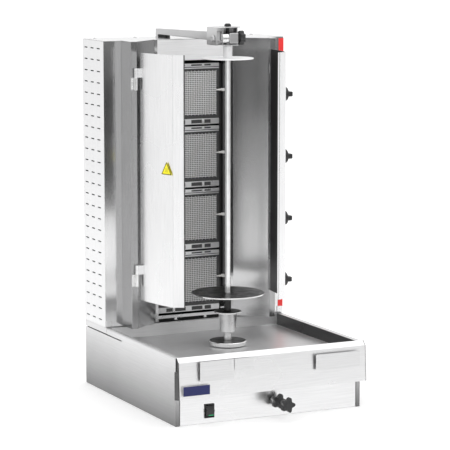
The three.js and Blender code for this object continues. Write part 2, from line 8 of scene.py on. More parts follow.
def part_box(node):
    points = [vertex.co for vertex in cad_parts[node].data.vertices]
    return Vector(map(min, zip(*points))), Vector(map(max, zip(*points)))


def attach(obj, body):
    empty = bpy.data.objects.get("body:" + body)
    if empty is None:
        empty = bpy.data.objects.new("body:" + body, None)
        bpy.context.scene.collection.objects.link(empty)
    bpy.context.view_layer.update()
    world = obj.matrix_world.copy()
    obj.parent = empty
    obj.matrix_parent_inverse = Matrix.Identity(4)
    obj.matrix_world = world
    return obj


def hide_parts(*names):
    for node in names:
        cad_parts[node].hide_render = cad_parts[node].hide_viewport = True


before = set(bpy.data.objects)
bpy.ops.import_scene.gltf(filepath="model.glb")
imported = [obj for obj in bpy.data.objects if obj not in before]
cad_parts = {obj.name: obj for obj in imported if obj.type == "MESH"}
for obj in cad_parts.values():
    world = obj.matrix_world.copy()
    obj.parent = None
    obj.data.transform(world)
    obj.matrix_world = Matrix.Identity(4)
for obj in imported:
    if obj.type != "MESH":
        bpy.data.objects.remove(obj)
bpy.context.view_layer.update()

# ---- datum: the middle of the base's front bottom edge, and millimetres ---------------------
MM = 0.001
SHEET = 1.2  # thickness of the sheet steel
SHARP = math.radians(38)  # edges bent by more than this are drawn sharp
pan_low, pan_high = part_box("base_floor_pan")
DATUM = Vector(((pan_low.x + pan_high.x) / 2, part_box("base_left_side")[0].y, 0.0))


def span(node):
    """Lowest and highest corner of a CAD node, in millimetres from the datum."""
    low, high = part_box(node)
    return (low - DATUM) / MM, (high - DATUM) / MM


# ---- materials ------------------------------------------------------------------------------
class Shader:
    """A Principled material and the few node chains that the finishes share."""

    def __init__(self, name, color, roughness, metallic=0.0, **sockets):
        self.material = bpy.data.materials.new(name)
        self.material.use_nodes = True
        self.tree = self.material.node_tree
        self.bsdf = self.tree.nodes["Principled BSDF"]
        self.set("Base Color", (*color, 1.0))
        self.set("Roughness", roughness)
        self.set("Metallic", metallic)
        for socket, value in sockets.items():
            self.set(socket.replace("_", " "), value)
        self.color = color
        self.height = None
        self.painted = None

    def set(self, socket, value):
        self.bsdf.inputs[socket].default_value = value

    def node(self, kind, **values):
        node = self.tree.nodes.new(kind)
        for key, value in values.items():
            if key in node.inputs:
                node.inputs[key].default_value = value
            else:
                setattr(node, key, value)
        return node

    def link(self, source, target):
        self.tree.links.new(source, target)

    def noise(self, scale, stretch=(1, 1, 1), detail=3.0):
        """Noise in the object's own space; stretch squeezes it along each axis."""
        where = self.node("ShaderNodeTexCoord")
        mapping = self.node("ShaderNodeMapping", Scale=stretch)
        noise = self.node("ShaderNodeTexNoise", Scale=scale, Detail=detail)
        self.link(where.outputs["Object"], mapping.inputs["Vector"])
        self.link(mapping.outputs["Vector"], noise.inputs["Vector"])
        return noise.outputs["Fac"]

    def ranged(self, source, low, high, start=0.3, end=0.7):
        spread = self.node("ShaderNodeMapRange")
        for socket, value in (("From Min", start), ("From Max", end), ("To Min", low), ("To Max", high)):
            spread.inputs[socket].default_value = value
        self.link(source, spread.inputs["Value"])
        return spread.outputs["Result"]

    def tint(self, source, low, high):
        """Base colour times a factor that follows the source."""
        mix = self.node("ShaderNodeMix", data_type="RGBA")
        mix.inputs["A"].default_value = (*(c * low for c in self.color), 1.0)
        mix.inputs["B"].default_value = (*(min(c * high, 1.0) for c in self.color), 1.0)
        self.link(self.ranged(source, 0.0, 1.0), mix.inputs["Factor"])
        self.painted = mix.outputs["Result"]
        self.link(self.painted, self.bsdf.inputs["Base Color"])

    def fade(self, bottom, top, low, high):
        """Paints shade into the colour by height: factor low at the bottom, high at the top, in millimetres.
        """
        where = self.node("ShaderNodeTexCoord")
        split = self.node("ShaderNodeSeparateXYZ")
        self.link(where.outputs["Object"], split.inputs["Vector"])
        factor = self.ranged(split.outputs["Z"], low, high, bottom * MM, top * MM)
        mix = self.node("ShaderNodeMix", data_type="RGBA", blend_type="MULTIPLY")
        mix.inputs["Factor"].default_value = 1.0
        self.link(self.painted, mix.inputs["A"])
        self.link(factor, mix.inputs["B"])
        self.link(mix.outputs["Result"], self.bsdf.inputs["Base Color"])

    def rough(self, source, low, high):
        self.link(self.ranged(source, low, high), self.bsdf.inputs["Roughness"])

    def bump(self, source, strength, distance=0.0002):
        bump = self.node("ShaderNodeBump", Strength=strength, Distance=distance)
        self.link(source, bump.inputs["Height"])
        if self.height is not None:
            self.link(self.height, bump.inputs["Normal"])
        self.height = bump.outputs["Normal"]
        self.link(self.height, self.bsdf.inputs["Normal"])


# Noise squeezed across the grain, so that its marks run along it.
ALONG = {"x": (1, 60, 60), "y": (60, 1, 60), "z": (60, 60, 1)}


def steel(name, tone=0.78, roughness=0.24, grain="z", strength=0.12, metallic=1.0, fade=None):
    """Stainless sheet with a grain along one axis, faint smudges and a soft sheen; fade, when given, paints
    shade into the colour by height.
    """
    shader = Shader(name, (tone, tone, tone * 1.005), roughness, metallic)
    lines = shader.noise(14.0, ALONG[grain], 4.0)
    smudges = shader.noise(5.0, detail=2.0)
    shader.tint(lines, 0.94, 1.05)
    shader.rough(smudges, roughness * 0.82, roughness * 1.22)
    shader.bump(lines, strength, 0.00012)
    if fade:
        shader.fade(*fade)
    return shader.material


def turned_steel(name, tone=0.8, roughness=0.16, metallic=1.0):
    """Machined stainless with faint rings and handling marks."""
    shader = Shader(name, (tone, tone, tone), roughness, metallic)
    rings = shader.noise(30.0, (1, 1, 30), 3.0)
    marks = shader.noise(40.0, detail=4.0)
    shader.tint(marks, 0.93, 1.04)
    shader.rough(marks, roughness * 0.75, roughness * 1.4)
    shader.bump(rings, 0.06, 0.0001)
    return shader.material


def plastic(name, color, roughness=0.38, mottle=0.12, **sockets):
    """Moulded plastic with a fine moulded grain."""
    shader = Shader(name, color, roughness, **sockets)
    grain = shader.noise(900.0, detail=2.0)
    patches = shader.noise(60.0, detail=2.0)
    shader.tint(patches, 1 - mottle, 1 + mottle)
    shader.rough(patches, roughness * 0.85, roughness * 1.2)
    shader.bump(grain, 0.25, 0.00008)
    return shader.material


def plaque_ceramic():
    """Dark grey ceramic with a regular grid of small dark holes."""
    tone = (0.3, 0.29, 0.27)
    shader = Shader("burner_ceramic", tone, 0.85)
    pitch = 2 * math.pi / (2.9 * MM)
    where = shader.node("ShaderNodeTexCoord")
    split = shader.node("ShaderNodeSeparateXYZ")
    shader.link(where.outputs["Object"], split.inputs["Vector"])
    waves = []
    for axis in ("X", "Z"):
        scaled = shader.node("ShaderNodeMath", operation="MULTIPLY")
        scaled.inputs[1].default_value = pitch
        wave = shader.node("ShaderNodeMath", operation="COSINE")
        shader.link(split.outputs[axis], scaled.inputs[0])
        shader.link(scaled.outputs[0], wave.inputs[0])
        waves.append(wave.outputs[0])
    both = shader.node("ShaderNodeMath", operation="ADD")
    shader.link(waves[0], both.inputs[0])
    shader.link(waves[1], both.inputs[1])
    holes = shader.ranged(both.outputs[0], 1.0, 0.0, 0.5, 1.1)
    mix = shader.node("ShaderNodeMix", data_type="RGBA")
    mix.inputs["A"].default_value = (0.02, 0.018, 0.016, 1)
    mix.inputs["B"].default_value = (*tone, 1)
    shader.link(holes, mix.inputs["Factor"])
    shader.link(mix.outputs["Result"], shader.bsdf.inputs["Base Color"])
    shader.bump(holes, 0.8, 0.001)
    shader.bump(shader.noise(600.0), 0.3, 0.0002)
    return shader.material


MATERIALS = {
    # Side panels and skirt: the colour darkens towards the floor below 175 mm, painted shade standing for a
    # dark reflection.
    "side": steel("steel_side_panel", 0.72, 0.34, "y", 0.10, fade=(0, 175, 0.22, 1.0)),
    "perforated": steel("steel_perforated", 0.84, 0.34, "z", 0.10),
    "header": steel("steel_header", 0.92, 0.5, "x", 0.10, 0.1),
    "clip": steel("steel_clip", 0.88, 0.3, "x", 0.08, 0.7),
    "front": steel("steel_front_panel", 0.78, 0.28, "x", 0.08),
    "cap": steel("steel_end_cap", 0.05, 0.45, "z", 0.08, 0.4),
    "casing": steel("steel_casing", 0.74, 0.12, "z", 0.12),
    # A darker copy of the casing steel: painted dark reflection on the pillars' forward step.
    "step": steel("steel_step_painted_dark", 0.4, 0.2, "z", 0.12),
    # Bay walls: the colour darkens upwards from 230 to 820 mm, a painted dark reflection.
    "bay_wall": steel("steel_bay_wall_painted_shade", 0.8, 0.2, "z", 0.12, fade=(230, 820, 1.0, 0.42)),
    "shield": steel("steel_shield", 0.86, 0.26, "z", 0.16),
    # A near-black copy of the shield steel: painted dark reflection on the faces turned to the spit.
    "shield_painted_dark": steel("steel_shield_painted_dark", 0.12, 0.4, "z", 0.12),
    "tray": steel("steel_tray", 0.72, 0.36, "x", 0.06, 0.7),
    # A near-black copy of the tray steel: painted shade on the tray's right inner wall.
    "wall": steel("steel_tray_wall_painted_shade", 0.12, 0.3, "y", 0.08),
    "arm": steel("steel_arm", 0.6, 0.42, "y", 0.2),
    "inner": steel("steel_inner", 0.5, 0.36, "x", 0.12),
    # A near-black copy of steel: painted shade on the burner frames and the sensor channel.
    "shaded_dark": steel("steel_shaded_dark", 0.1, 0.42, "x", 0.12, 0.6),
    "block": steel("steel_block", 0.66, 0.26, "x", 0.16),
    "turned": turned_steel("steel_turned"),
    "spit": turned_steel("steel_spit", 0.97, 0.14, 0.55),
    "rim": turned_steel("steel_rim", 0.85, 0.2),
    "bright": steel("steel_bright", 0.9, 0.4, "z", 0.05, 0.3),
    # Near-black turned steel: painted dark reflection on the meat plate and on the flat tops of the dish and
    # cup.
    "disc": turned_steel("steel_disc_painted_dark", 0.05, 0.34),
    "screen": steel("screen_wire", 0.95, 0.5, "z", 0.05, 0.5),
    "black": plastic("black_plastic", (0.018, 0.018, 0.019), 0.36),
    "switch": plastic("switch_plastic", (0.012, 0.012, 0.013), 0.22),
    "lamp": plastic(
        "green_lamp", (0.0, 0.22, 0.08), 0.15, 0.3, Emission_Color=(0.0, 0.3, 0.1, 1), Emission_Strength=0.7
    ),
    "rubber": plastic("black_rubber", (0.012, 0.012, 0.012), 0.75),
    "red": plastic("red_film", (0.9, 0.03, 0.03), 0.35, 0.06),
    "blue": plastic("blue_plate", (0.003, 0.008, 0.09), 0.35, 0.1),
    "film": steel("label_film", 0.7, 0.3, "x", 0.08),
    "white": plastic("white_print", (0.86, 0.86, 0.86), 0.4, 0.02),
    "yellow": plastic("yellow_label", (0.95, 0.85, 0.0), 0.35, 0.05),
    "brass": turned_steel("brass_gas", 0.62, 0.3),
    "motor": plastic("motor_paint", (0.09, 0.095, 0.1), 0.5),
    "ceramic": plaque_ceramic(),
    "ceramic_white": plastic("ceramic_white", (0.85, 0.84, 0.82), 0.3, 0.05),
    # Near-black plastic for the ring round each burner window.
    "dark_seal": plastic("dark_seal_plastic", (0.012, 0.011, 0.011), 0.7, 0.3),
    # Near-black sheet for boards put inside the casing as painted shade.
    "board": plastic("shade_board", (0.01, 0.01, 0.01), 0.9, 0.3),
}


# ---- outline helpers, all in millimetres ----------------------------------------------------
def rectangle(a0, a1, b0, b1):
    return [(a0, b0), (a1, b0), (a1, b1), (a0, b1)]


def circle(a, b, radius, steps=32):
    turns = [2 * math.pi * i / steps for i in range(steps)]
    return [(a + radius * math.cos(t), b + radius * math.sin(t)) for t in turns]


def rounded(points, radius, closed=True, steps=4):
    """The line with each corner turned into an arc; radius may be one number or one per corner."""
    count = len(points)
    radii = radius if isinstance(radius, (list, tuple)) else [radius] * count
    line = []
    for i, point in enumerate(points):
        corner = Vector(point)
        if (not closed and i in (0, count - 1)) or radii[i] <= 0:
            line.append(tuple(corner))
            continue
        before = Vector(points[i - 1]) - corner
        after = Vector(points[(i + 1) % count]) - corner
        half = before.angle(after) / 2
        if half > math.radians(89.5) or half < math.radians(2):
            line.append(tuple(corner))
            continue
        reach = min(radii[i] / math.tan(half), 0.49 * before.length, 0.49 * after.length)
        true_radius = reach * math.tan(half)
        start = corner + before.normalized() * reach
        end = corner + after.normalized() * reach
        inward = (before.normalized() + after.normalized()).normalized()
        middle = corner + inward * (true_radius / math.sin(half))
        first, last = start - middle, end - middle
        for step in range(steps + 1):
            spoke = first.slerp(last, step / steps) if first.length > 0 else Vector((0, 0))
            line.append(tuple(middle + spoke))
    return line


def soft_box(a0, a1, b0, b1, radius, steps=4):
    """A rectangle with rounded corners."""
    return rounded(rectangle(a0, a1, b0, b1), radius, steps=steps)


def offset_line(points, distance):
    """An open line moved to its left by the distance, with mitred corners."""
    normals = []
    for (x0, y0), (x1, y1) in zip(points, points[1:]):
        length = math.hypot(x1 - x0, y1 - y0)
        normals.append(((y0 - y1) / length, (x1 - x0) / length))
    moved = []
    for i, (x, y) in enumerate(points):
        before = normals[max(i - 1, 0)]
        after = normals[min(i, len(normals) - 1)]
        nx, ny = before[0] + after[0], before[1] + after[1]
        scale = 2 * distance / (nx * nx + ny * ny)
        moved.append((x + nx * scale, y + ny * scale))
    return moved


def strip(line, half):
    """Outline of a strip along an open line, reaching half its width to each side."""
    return offset_line(line, -half) + offset_line(line, half)[::-1]


def folded(points, bend, steps=4):
    """Outline of a sheet bent along its outer line, which lies on the sheet's right."""
    return strip(rounded(offset_line(points, SHEET / 2), bend, closed=False, steps=steps), SHEET / 2)


def mirrored(points):
    return [(-a, b) for a, b in points][::-1]


def star(radius, lobes, depth, steps=90):
    """Outline of a grip with soft lobes."""
    outline = []
    for i in range(steps):
        turn = 2 * math.pi * i / steps
        reach = radius * (1 - depth + depth * math.cos(lobes * turn))
        outline.append((reach * math.cos(turn), reach * math.sin(turn)))
    return outline


# ---- solids: each returns mesh data in millimetres from the datum ---------------------------
TO_AXIS = {
    "z": Matrix.Identity(4),
    "y": Matrix.Rotation(math.radians(90), 4, "X"),
    "x": Matrix(((0, 0, 1, 0), (1, 0, 0, 0), (0, 1, 0, 0), (0, 0, 0, 1))),
}


def from_bmesh(bm):
    mesh = bpy.data.meshes.new("solid")
    bm.to_mesh(mesh)
    bm.free()
    return mesh


def moved(mesh, matrix):
    mesh.transform(matrix)
    return mesh


def shifted(mesh, x, y, z):
    return moved(mesh, Matrix.Translation((x, y, z)))


def add_run(curve, places, closed):
    """Adds a run of straight stretches through the places to a curve."""
    spline = curve.splines.new("POLY")
    spline.points.add(len(places) - 1)
    for point, place in zip(spline.points, places):
        point.co = (*place, 1)
    spline.use_cyclic_u = closed


def curve_mesh(curve):
    """The mesh of a curve; the curve itself is removed."""
    holder = bpy.data.objects.new("holder", curve)
    mesh = bpy.data.meshes.new_from_object(holder)
    bpy.data.objects.remove(holder)
    bpy.data.curves.remove(curve)
    return mesh


def prism(outline, start, end, axis="z", holes=(), bevel=0.3, rings=1):
    """An outline with holes, run from start to end along the axis, with rounded rims."""
    curve = bpy.data.curves.new("outline", "CURVE")
    curve.dimensions = "2D"
    curve.fill_mode = "BOTH"
    for ring in (outline, *holes):
        add_run(curve, [(a, b, 0) for a, b in ring], True)
    curve.bevel_depth = bevel
    curve.bevel_resolution = rings
    curve.offset = -bevel
    curve.extrude = (end - start) / 2 - bevel
    mesh = moved(curve_mesh(curve), TO_AXIS[axis])
    middle = (start + end) / 2
    shift = {"x": (middle, 0, 0), "y": (0, middle, 0), "z": (0, 0, middle)}[axis]
    return shifted(mesh, *shift)


def block(x, y, z, bevel=0.5, segments=2):
    """A box from its three spans, with rounded edges."""
    bm = bmesh.new()
    bmesh.ops.create_cube(bm, size=1)
    size = (x[1] - x[0], y[1] - y[0], z[1] - z[0])
    bmesh.ops.scale(bm, vec=size, verts=bm.verts)
    bmesh.ops.translate(bm, vec=((x[0] + x[1]) / 2, (y[0] + y[1]) / 2, (z[0] + z[1]) / 2), verts=bm.verts)
    if bevel:
        width = min(bevel, 0.45 * min(size))
        bmesh.ops.bevel(bm, geom=bm.edges[:], offset=width, segments=segments, profile=0.5, affect="EDGES")
    return from_bmesh(bm)


def turned(profile, axis="z", segments=72, fillet=0.6, steps=3):
    """A solid of revolution about the datum's axis from closed (radius, height) points."""
    radii = [0 if a <= 0 else fillet for a, _ in profile]
    line = rounded(profile, radii, closed=True, steps=steps)
    bm = bmesh.new()
    rings = []
    for radius, height in line:
        if radius < 1e-6:
            rings.append([bm.verts.new((0, 0, height))] * segments)
        else:
            turns = [2 * math.pi * i / segments for i in range(segments)]
            rings.append([bm.verts.new((radius * math.cos(t), radius * math.sin(t), height)) for t in turns])
    for ring, after in zip(rings, rings[1:] + rings[:1]):
        for i in range(segments):
            corners = [ring[i], ring[(i + 1) % segments], after[(i + 1) % segments], after[i]]
            corners = [v for k, v in enumerate(corners) if v not in corners[:k]]
            if len(corners) > 2:
                bm.faces.new(corners)
    mesh = from_bmesh(bm)
    mesh.transform(TO_AXIS[axis] if axis != "y" else Matrix.Rotation(math.radians(-90), 4, "X"))
    return mesh


def pin(radius, start, end, axis="z", fillet=0.5, segments=32):
    return turned([(0, start), (radius, start), (radius, end), (0, end)], axis, segments, fillet)


def pipe(points, radius):
    """A round wire along points in space."""
    curve = bpy.data.curves.new("path", "CURVE")
    curve.dimensions = "3D"
    curve.bevel_depth = radius
    curve.bevel_resolution = 1
    curve.use_fill_caps = True
    add_run(curve, points, False)
    return curve_mesh(curve)


def cleaned(mesh):
    """The same solid with its seams closed and every face turned outwards."""
    bm = bmesh.new()
    bm.from_mesh(mesh)
    bpy.data.meshes.remove(mesh)
    bmesh.ops.remove_doubles(bm, verts=bm.verts, dist=0.002)
    bmesh.ops.recalc_face_normals(bm, faces=bm.faces)
    if bm.calc_volume(signed=True) < 0:
        bmesh.ops.reverse_faces(bm, faces=bm.faces)
    return from_bmesh(bm)


def piece(name, solids, material, body, stands_for=()):
    """Joins solids into one object in the row frame, and ties it to its body, slot and nodes."""
    bm = bmesh.new()
    for solid in solids:
        mesh = cleaned(solid)
        bm.from_mesh(mesh)
        bpy.data.meshes.remove(mesh)
    bm.transform(Matrix.Translation(DATUM) @ Matrix.Scale(MM, 4))
    for face in bm.faces:
        face.smooth = True
    mesh = from_bmesh(bm)
    mesh.name = name
    mesh.set_sharp_from_angle(angle=SHARP)
    mesh.materials.append(MATERIALS[material])
    obj = bpy.data.objects.new(name, mesh)
    bpy.context.scene.collection.objects.link(obj)
    weighted = obj.modifiers.new("face_weights", "WEIGHTED_NORMAL")
    weighted.keep_sharp = True
    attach(obj, body)
    if stands_for:
        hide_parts(*stands_for)
    return obj


def second_finish(obj, material, chosen):
    """Gives another material to the faces that the test picks."""
    obj.data.materials.append(MATERIALS[material])
    for face in obj.data.polygons:
        face.material_index = int(chosen(face))


# ---- places taken from the frame, in millimetres from the datum -----------------------------
base_low, base_high = span("base_left_side")
BASE_HALF = -base_low.x
DEPTH = base_high.y
SIDE_TOP = base_high.z
SPIT_Y = sum(corner.y for corner in span("spit_shaft")) / 2
SCREENS = [span(f"burner_plaque_{i}") for i in (1, 2, 3, 4)]
SIDES = (("left", -1), ("right", 1))


def sided(side, low, high):
    """A span of X on the right of the middle, or its mirror image on the left."""
    return (low, high) if side > 0 else (-high, -low)


def turn_over(side, outline):
    """An outline drawn for the left side, or its mirror image for the right one."""
    return outline if side < 0 else mirrored(outline)


SCREW_TURN = {
    "x": Matrix.Rotation(math.radians(-90), 4, "Y"),
    "y": Matrix.Rotation(math.radians(90), 4, "X"),
}


def screw(x, y, z, axis, radius, height=1.6):
    """A domed screw head marked with a cross, facing down the axis from a surface at (x, y, z)."""
    head = [(0, 0), (radius, 0), (radius * 0.96, height * 0.45), (radius * 0.6, height * 0.9), (0, height)]
    long, narrow, rise = (-radius * 0.55, radius * 0.55), (-0.35, 0.35), (height * 0.7, height * 1.05)
    meshes = [turned(head, "z", 20, 0.25, 2)]
    meshes += [block(long, narrow, rise, 0.1, 1), block(narrow, long, rise, 0.1, 1)]
    return [shifted(moved(mesh, SCREW_TURN[axis]), x, y, z) for mesh in meshes]


# ---- base -----------------------------------------------------------------------------------
# A slit runs forwards from the cut-down rear end of each side.
SLIT = {"low": 161, "high": 163.6, "front": 346, "back": 447}
PANEL_HEIGHT = 143


def base_side(name, side):
    outline = [
        (0, 0), (DEPTH, 0),
        (DEPTH, SLIT["low"]),
        (SLIT["front"], SLIT["low"]),
        (SLIT["front"], SLIT["high"]),
        (SLIT["back"], SLIT["high"]),
        (SLIT["back"], SIDE_TOP),
        (0, SIDE_TOP),
    ]
    corners = [0.8, 2, 1, 0.9, 0.9, 1, 1, 0.8]
    panel = prism(rounded(outline, corners), *sided(side, BASE_HALF - SHEET, BASE_HALF), "x", bevel=0.35)
    flange = block(sided(side, BASE_HALF - 11.2, BASE_HALF), (0, SHEET), (0, PANEL_HEIGHT), 0.5)
    piece(f"base_{name}_panel", [panel, flange], "side", "body", [f"base_{name}_side"])


for name, side in SIDES:
    base_side(name, side)

switch_low, switch_high = span("switch_housing")
SWITCH_X = (switch_low.x + switch_high.x) / 2
SWITCH_Z = (switch_low.z + switch_high.z) / 2
knob_low, knob_high = span("lock_knob")
bush_low, bush_high = span("lock_bushing")
CONTROL_X = (bush_low.x + bush_high.x) / 2
CONTROL_Z = (bush_low.z + bush_high.z) / 2
panel_low, panel_high = span("base_front_panel")
cutout = soft_box(SWITCH_X - 14, SWITCH_X + 14, SWITCH_Z - 18.5, SWITCH_Z + 18.5, 1.5)
front_outline = soft_box(panel_low.x, panel_high.x, panel_low.z, panel_high.z, 1.2)
panel_holes = [cutout, circle(CONTROL_X, CONTROL_Z, 6)]
front_panel = prism(front_outline, panel_low.y, panel_high.y, "y", panel_holes, bevel=0.35)
piece("front_panel", [front_panel], "front", "body", ["base_front_panel"])

pan_section = folded([(2.5, 0.0), (596.4, 0.0), (596.4, 160.0)], 2.5)
floor_pan = prism(pan_section, -BASE_HALF + 1.5, BASE_HALF - 1.5, "x", bevel=0.3)
piece("floor_pan", [floor_pan], "inner", "body", ["base_floor_pan"])

GLAND_X, GLAND_Z = -215, 45
gland = [
    prism(circle(0, 0, 11, 6), 597, 601.5, "y", bevel=0.6),
    turned([(0, 600), (8.4, 600), (8.4, 604.5), (6.2, 606), (0, 606)], "y", 40),
    pin(6.5, 588, 600, "y"),
]
gland = [shifted(mesh, GLAND_X, 0, GLAND_Z) for mesh in gland]
piece("gland", gland, "black", "body", ["cable_gland"])

# ---- drip tray: one lofted pan with a rim, and a raised lip round the slot -------------------
tray_low, tray_high = span("drip_tray")
TRAY_HALF, TRAY_FRONT, TRAY_BACK, TRAY_FLOOR = 258, tray_low.y, tray_high.y, 146


def tray_ring(inset, height):
    reach = max(inset, 0.0)
    lip = min(inset, 0.0)
    ring = rectangle(
        -TRAY_HALF + inset,
        TRAY_HALF - inset,
        TRAY_FRONT + reach + 0.08 * lip,
        TRAY_BACK - reach - 0.3 * lip,
    )
    return [(x, y, height) for x, y in rounded(ring, 2.5, steps=4)]


def lofted(rings):
    """A closed skin through rings of equally many points, from the last back to the first."""
    bm = bmesh.new()
    rows = [[bm.verts.new(point) for point in ring] for ring in rings]
    for row, after in zip(rows, rows[1:] + rows[:1]):
        count = len(row)
        for i in range(count):
            bm.faces.new((row[i], row[(i + 1) % count], after[(i + 1) % count], after[i]))
    return from_bmesh(bm)


rim = -(BASE_HALF - TRAY_HALF)
rim_top = tray_high.z
wall_line = rounded(
    [
        (14, TRAY_FLOOR), (SHEET, TRAY_FLOOR), (SHEET, rim_top), (rim, rim_top), (rim, rim_top - SHEET),
        (0, rim_top - SHEET), (0, TRAY_FLOOR - SHEET), (14, TRAY_FLOOR - SHEET),
    ],
    [0, 2, 1.5, 0.5, 0.5, 0.8, 3, 0],
    steps=4,
)
tray_walls = lofted([tray_ring(inset, height) for inset, height in wall_line])
floor_outline = [(x, y) for x, y, _ in tray_ring(14.02, 0)]
slot_front, slot_back, slot_half = SPIT_Y - 14, SPIT_Y + 44, 14
slot_hole = soft_box(-slot_half, slot_half, slot_front, slot_back, 13.9, steps=8)
rim_half = slot_half + SHEET
slot_rim = soft_box(-rim_half, rim_half, slot_front - SHEET, slot_back + SHEET, 15, steps=8)
tray_floor = prism(floor_outline, TRAY_FLOOR - SHEET, TRAY_FLOOR, "z", [slot_rim], bevel=0)
tray_lip = prism(slot_rim, TRAY_FLOOR - SHEET, 147.2, "z", [slot_hole], bevel=0.4)
tray = piece("tray_pan", [tray_walls, tray_floor, tray_lip], "tray", "body", ["drip_tray"])


def inside_right_wall(face):
    return face.normal.x < -0.8 and face.center.x > 0.2


# The tray's right inner wall gets the near-black wall steel as painted shade.
second_finish(tray, "wall", inside_right_wall)

# ---- fascia: a folded front with a rounded upper edge ----------------------------------------
fascia_low, fascia_high = span("tray_fascia")
fascia_section = rounded(
    [
        (TRAY_FRONT + 1.5, fascia_high.z), (fascia_low.y, fascia_high.z), (fascia_low.y, fascia_low.z),
        (fascia_high.y, fascia_low.z), (fascia_high.y, TRAY_FLOOR - 2.5),
        (TRAY_FRONT - 1.5, TRAY_FLOOR - 2.5), (TRAY_FRONT - 1.5, fascia_high.z - SHEET),
        (TRAY_FRONT + 1.5, fascia_high.z - SHEET),
    ],
    [0.4, 12, 6, 0.8, 0.8, 0, 0, 0.4],
    steps=10,
)
CAP = 1.6
fascia = prism(fascia_section, fascia_low.x + CAP, fascia_high.x - CAP, "x", bevel=0.3)
piece("fascia", [fascia], "front", "body", ["tray_fascia"])
for name, x in (("left", fascia_low.x), ("right", fascia_high.x - CAP + 0.1)):
    cap = prism(fascia_section, x, x + CAP - 0.1, "x", bevel=0.5, rings=2)
    piece(f"fascia_{name}_cap", [cap], "cap", "body")


def plate(name, x, z, material, thickness, corner, back):
    outline = soft_box(*x, *z, corner)
    mesh = prism(outline, back - thickness, back, "y", bevel=min(0.3, thickness * 0.4))
    piece(name, [mesh], material, "body")


plate("badge_edge", (-267.4, -185.6), (81.6, 113.4), "white", 0.4, 4, fascia_low.y)
plate("badge_plate", (-266, -187), (83, 112), "blue", 0.6, 3, fascia_low.y - 0.2)
plate("rating_label", (-217, -119.5), (118.5, 171), "film", 0.05, 1.5, fascia_low.y)
plate("bar_label", (-119, -63), (139, 171), "film", 0.05, 1.5, fascia_low.y)
plate("care_label", (118, 250), (118, 160), "film", 0.05, 1.5, fascia_low.y)

# ---- rocker switch ---------------------------------------------------------------------------
flange_outline = soft_box(-16, 16, -20.5, 20.5, 3, steps=5)
flange_hole = soft_box(-11.6, 11.6, -15.8, 15.8, 1.2)
shell_outline = soft_box(-13.7, 13.7, -18.2, 18.2, 1)
housing = [
    prism(flange_outline, -2.3, 0.2, "y", [flange_hole], bevel=0.9, rings=2),
    prism(shell_outline, 0, 9, "y", [flange_hole], bevel=0.2),
    prism(shell_outline, 8.8, 22, "y", bevel=0.4),
]
housing = [shifted(mesh, SWITCH_X, 0, SWITCH_Z) for mesh in housing]
piece("switch_case", housing, "switch", "body", ["switch_housing"])

ROCKER_SLOPE = 2.4 / 14.2
TILT = Matrix.Translation((SWITCH_X, 1, SWITCH_Z)) @ Matrix.Rotation(math.radians(-10), 4, "X")


def rocker_face(z):
    return -3.2 - abs(z) * ROCKER_SLOPE


rocker_outline = rounded(
    [(-3.2, 0), (-5.6, -14.2), (4, -12), (4, 12), (-5.6, 14.2)], [9, 1.2, 1, 1, 1.2], steps=6
)
LENS_BOTTOM, LENS_TOP = -12.2, 8.5
lens_front = [(rocker_face(z) - 0.45, z) for z in (LENS_TOP, 0, LENS_BOTTOM)]
lens_back = [(rocker_face(z) + 1.5, z) for z in (LENS_BOTTOM, 0, LENS_TOP)]
lens_outline = [*lens_front, *lens_back]
rocker_mesh = moved(prism(rocker_outline, -11.2, 11.2, "x", bevel=0.8, rings=2), TILT)
lens_mesh = moved(prism(rounded(lens_outline, 0.5), -5, 9.6, "x", bevel=0.35), TILT)
piece("rocker_button", [rocker_mesh], "switch", "rocker", ["rocker"])
piece("rocker_lens", [lens_mesh], "lamp", "rocker")

# ---- front control knobs ---------------------------------------------------------------------
pull_low, pull_high = span("pull_knob")


def about_control(mesh):
    return shifted(mesh, CONTROL_X, 0, CONTROL_Z)


def star_knob(front, back, radius, lobes, depth, hub, bore):
    """A star grip with a raised hub, about the control axis; the rod may pass through its bore."""
    holes = [circle(0, 0, bore, 40)] if bore else []
    grip = prism(star(radius, lobes, depth), front, back, "y", holes, 2.2 if not bore else 1.6, 4)
    face = [(bore, front - 0.6), (hub, front - 0.6), (hub, front + 3), (bore, front + 3)]
    return [about_control(grip), about_control(turned(face, "y", 40, 0.5))]


pull_parts = star_knob(pull_low.y + 0.6, pull_high.y, 20.5, 5, 0.17, 9, 0)
lock_parts = star_knob(knob_low.y + 0.6, knob_high.y, 20.5, 5, 0.17, 11, 5.6)
piece("pull_star", pull_parts, "black", "carriage", ["pull_knob"])
piece("lock_star", lock_parts, "black", "lock_knob", ["lock_knob"])
rod_low, rod_high = span("adjuster_rod")
CRESTS, PITCH = 26, 1.25
thread = [about_control(pin(4.55, rod_low.y, rod_high.y, "y", 0.4, 28))]
for step in range(CRESTS):
    y = pull_high.y + 1.0 + step * PITCH
    crest = turned([(4.2, y), (5, y + 0.35), (5, y + 0.6), (4.2, y + 0.95)], "y", 28, 0)
    thread.append(about_control(crest))
piece("control_rod", thread, "turned", "carriage", ["adjuster_rod"])
rod_hole = [circle(0, 0, 5.5)]
bushing = [
    about_control(prism(circle(0, 0, 9, 6), bush_low.y, -6, "y", rod_hole, 0.5)),
    about_control(prism(circle(0, 0, 8.8), -6.2, 0.2, "y", rod_hole, 0.5)),
    about_control(prism(circle(0, 0, 5.9), 0, 4, "y", rod_hole, 0.1)),
]
piece("rod_bushing", bushing, "turned", "body", ["lock_bushing"])

# ---- spit, discs and drive cup ---------------------------------------------------------------
def about_spit(mesh):
    return shifted(mesh, 0, SPIT_Y, 0)


def on_spit(name, solids, material, body, stands_for=()):
    """A piece about the spit's axis; the flat tops of the bright ones get the near-black disc steel, a
    painted dark reflection.
    """
    placed = [about_spit(mesh) for mesh in solids]
    obj = piece(name, placed, material, body, stands_for)
    if material == "rim":
        second_finish(obj, "disc", lambda face: face.normal.z > 0.95)


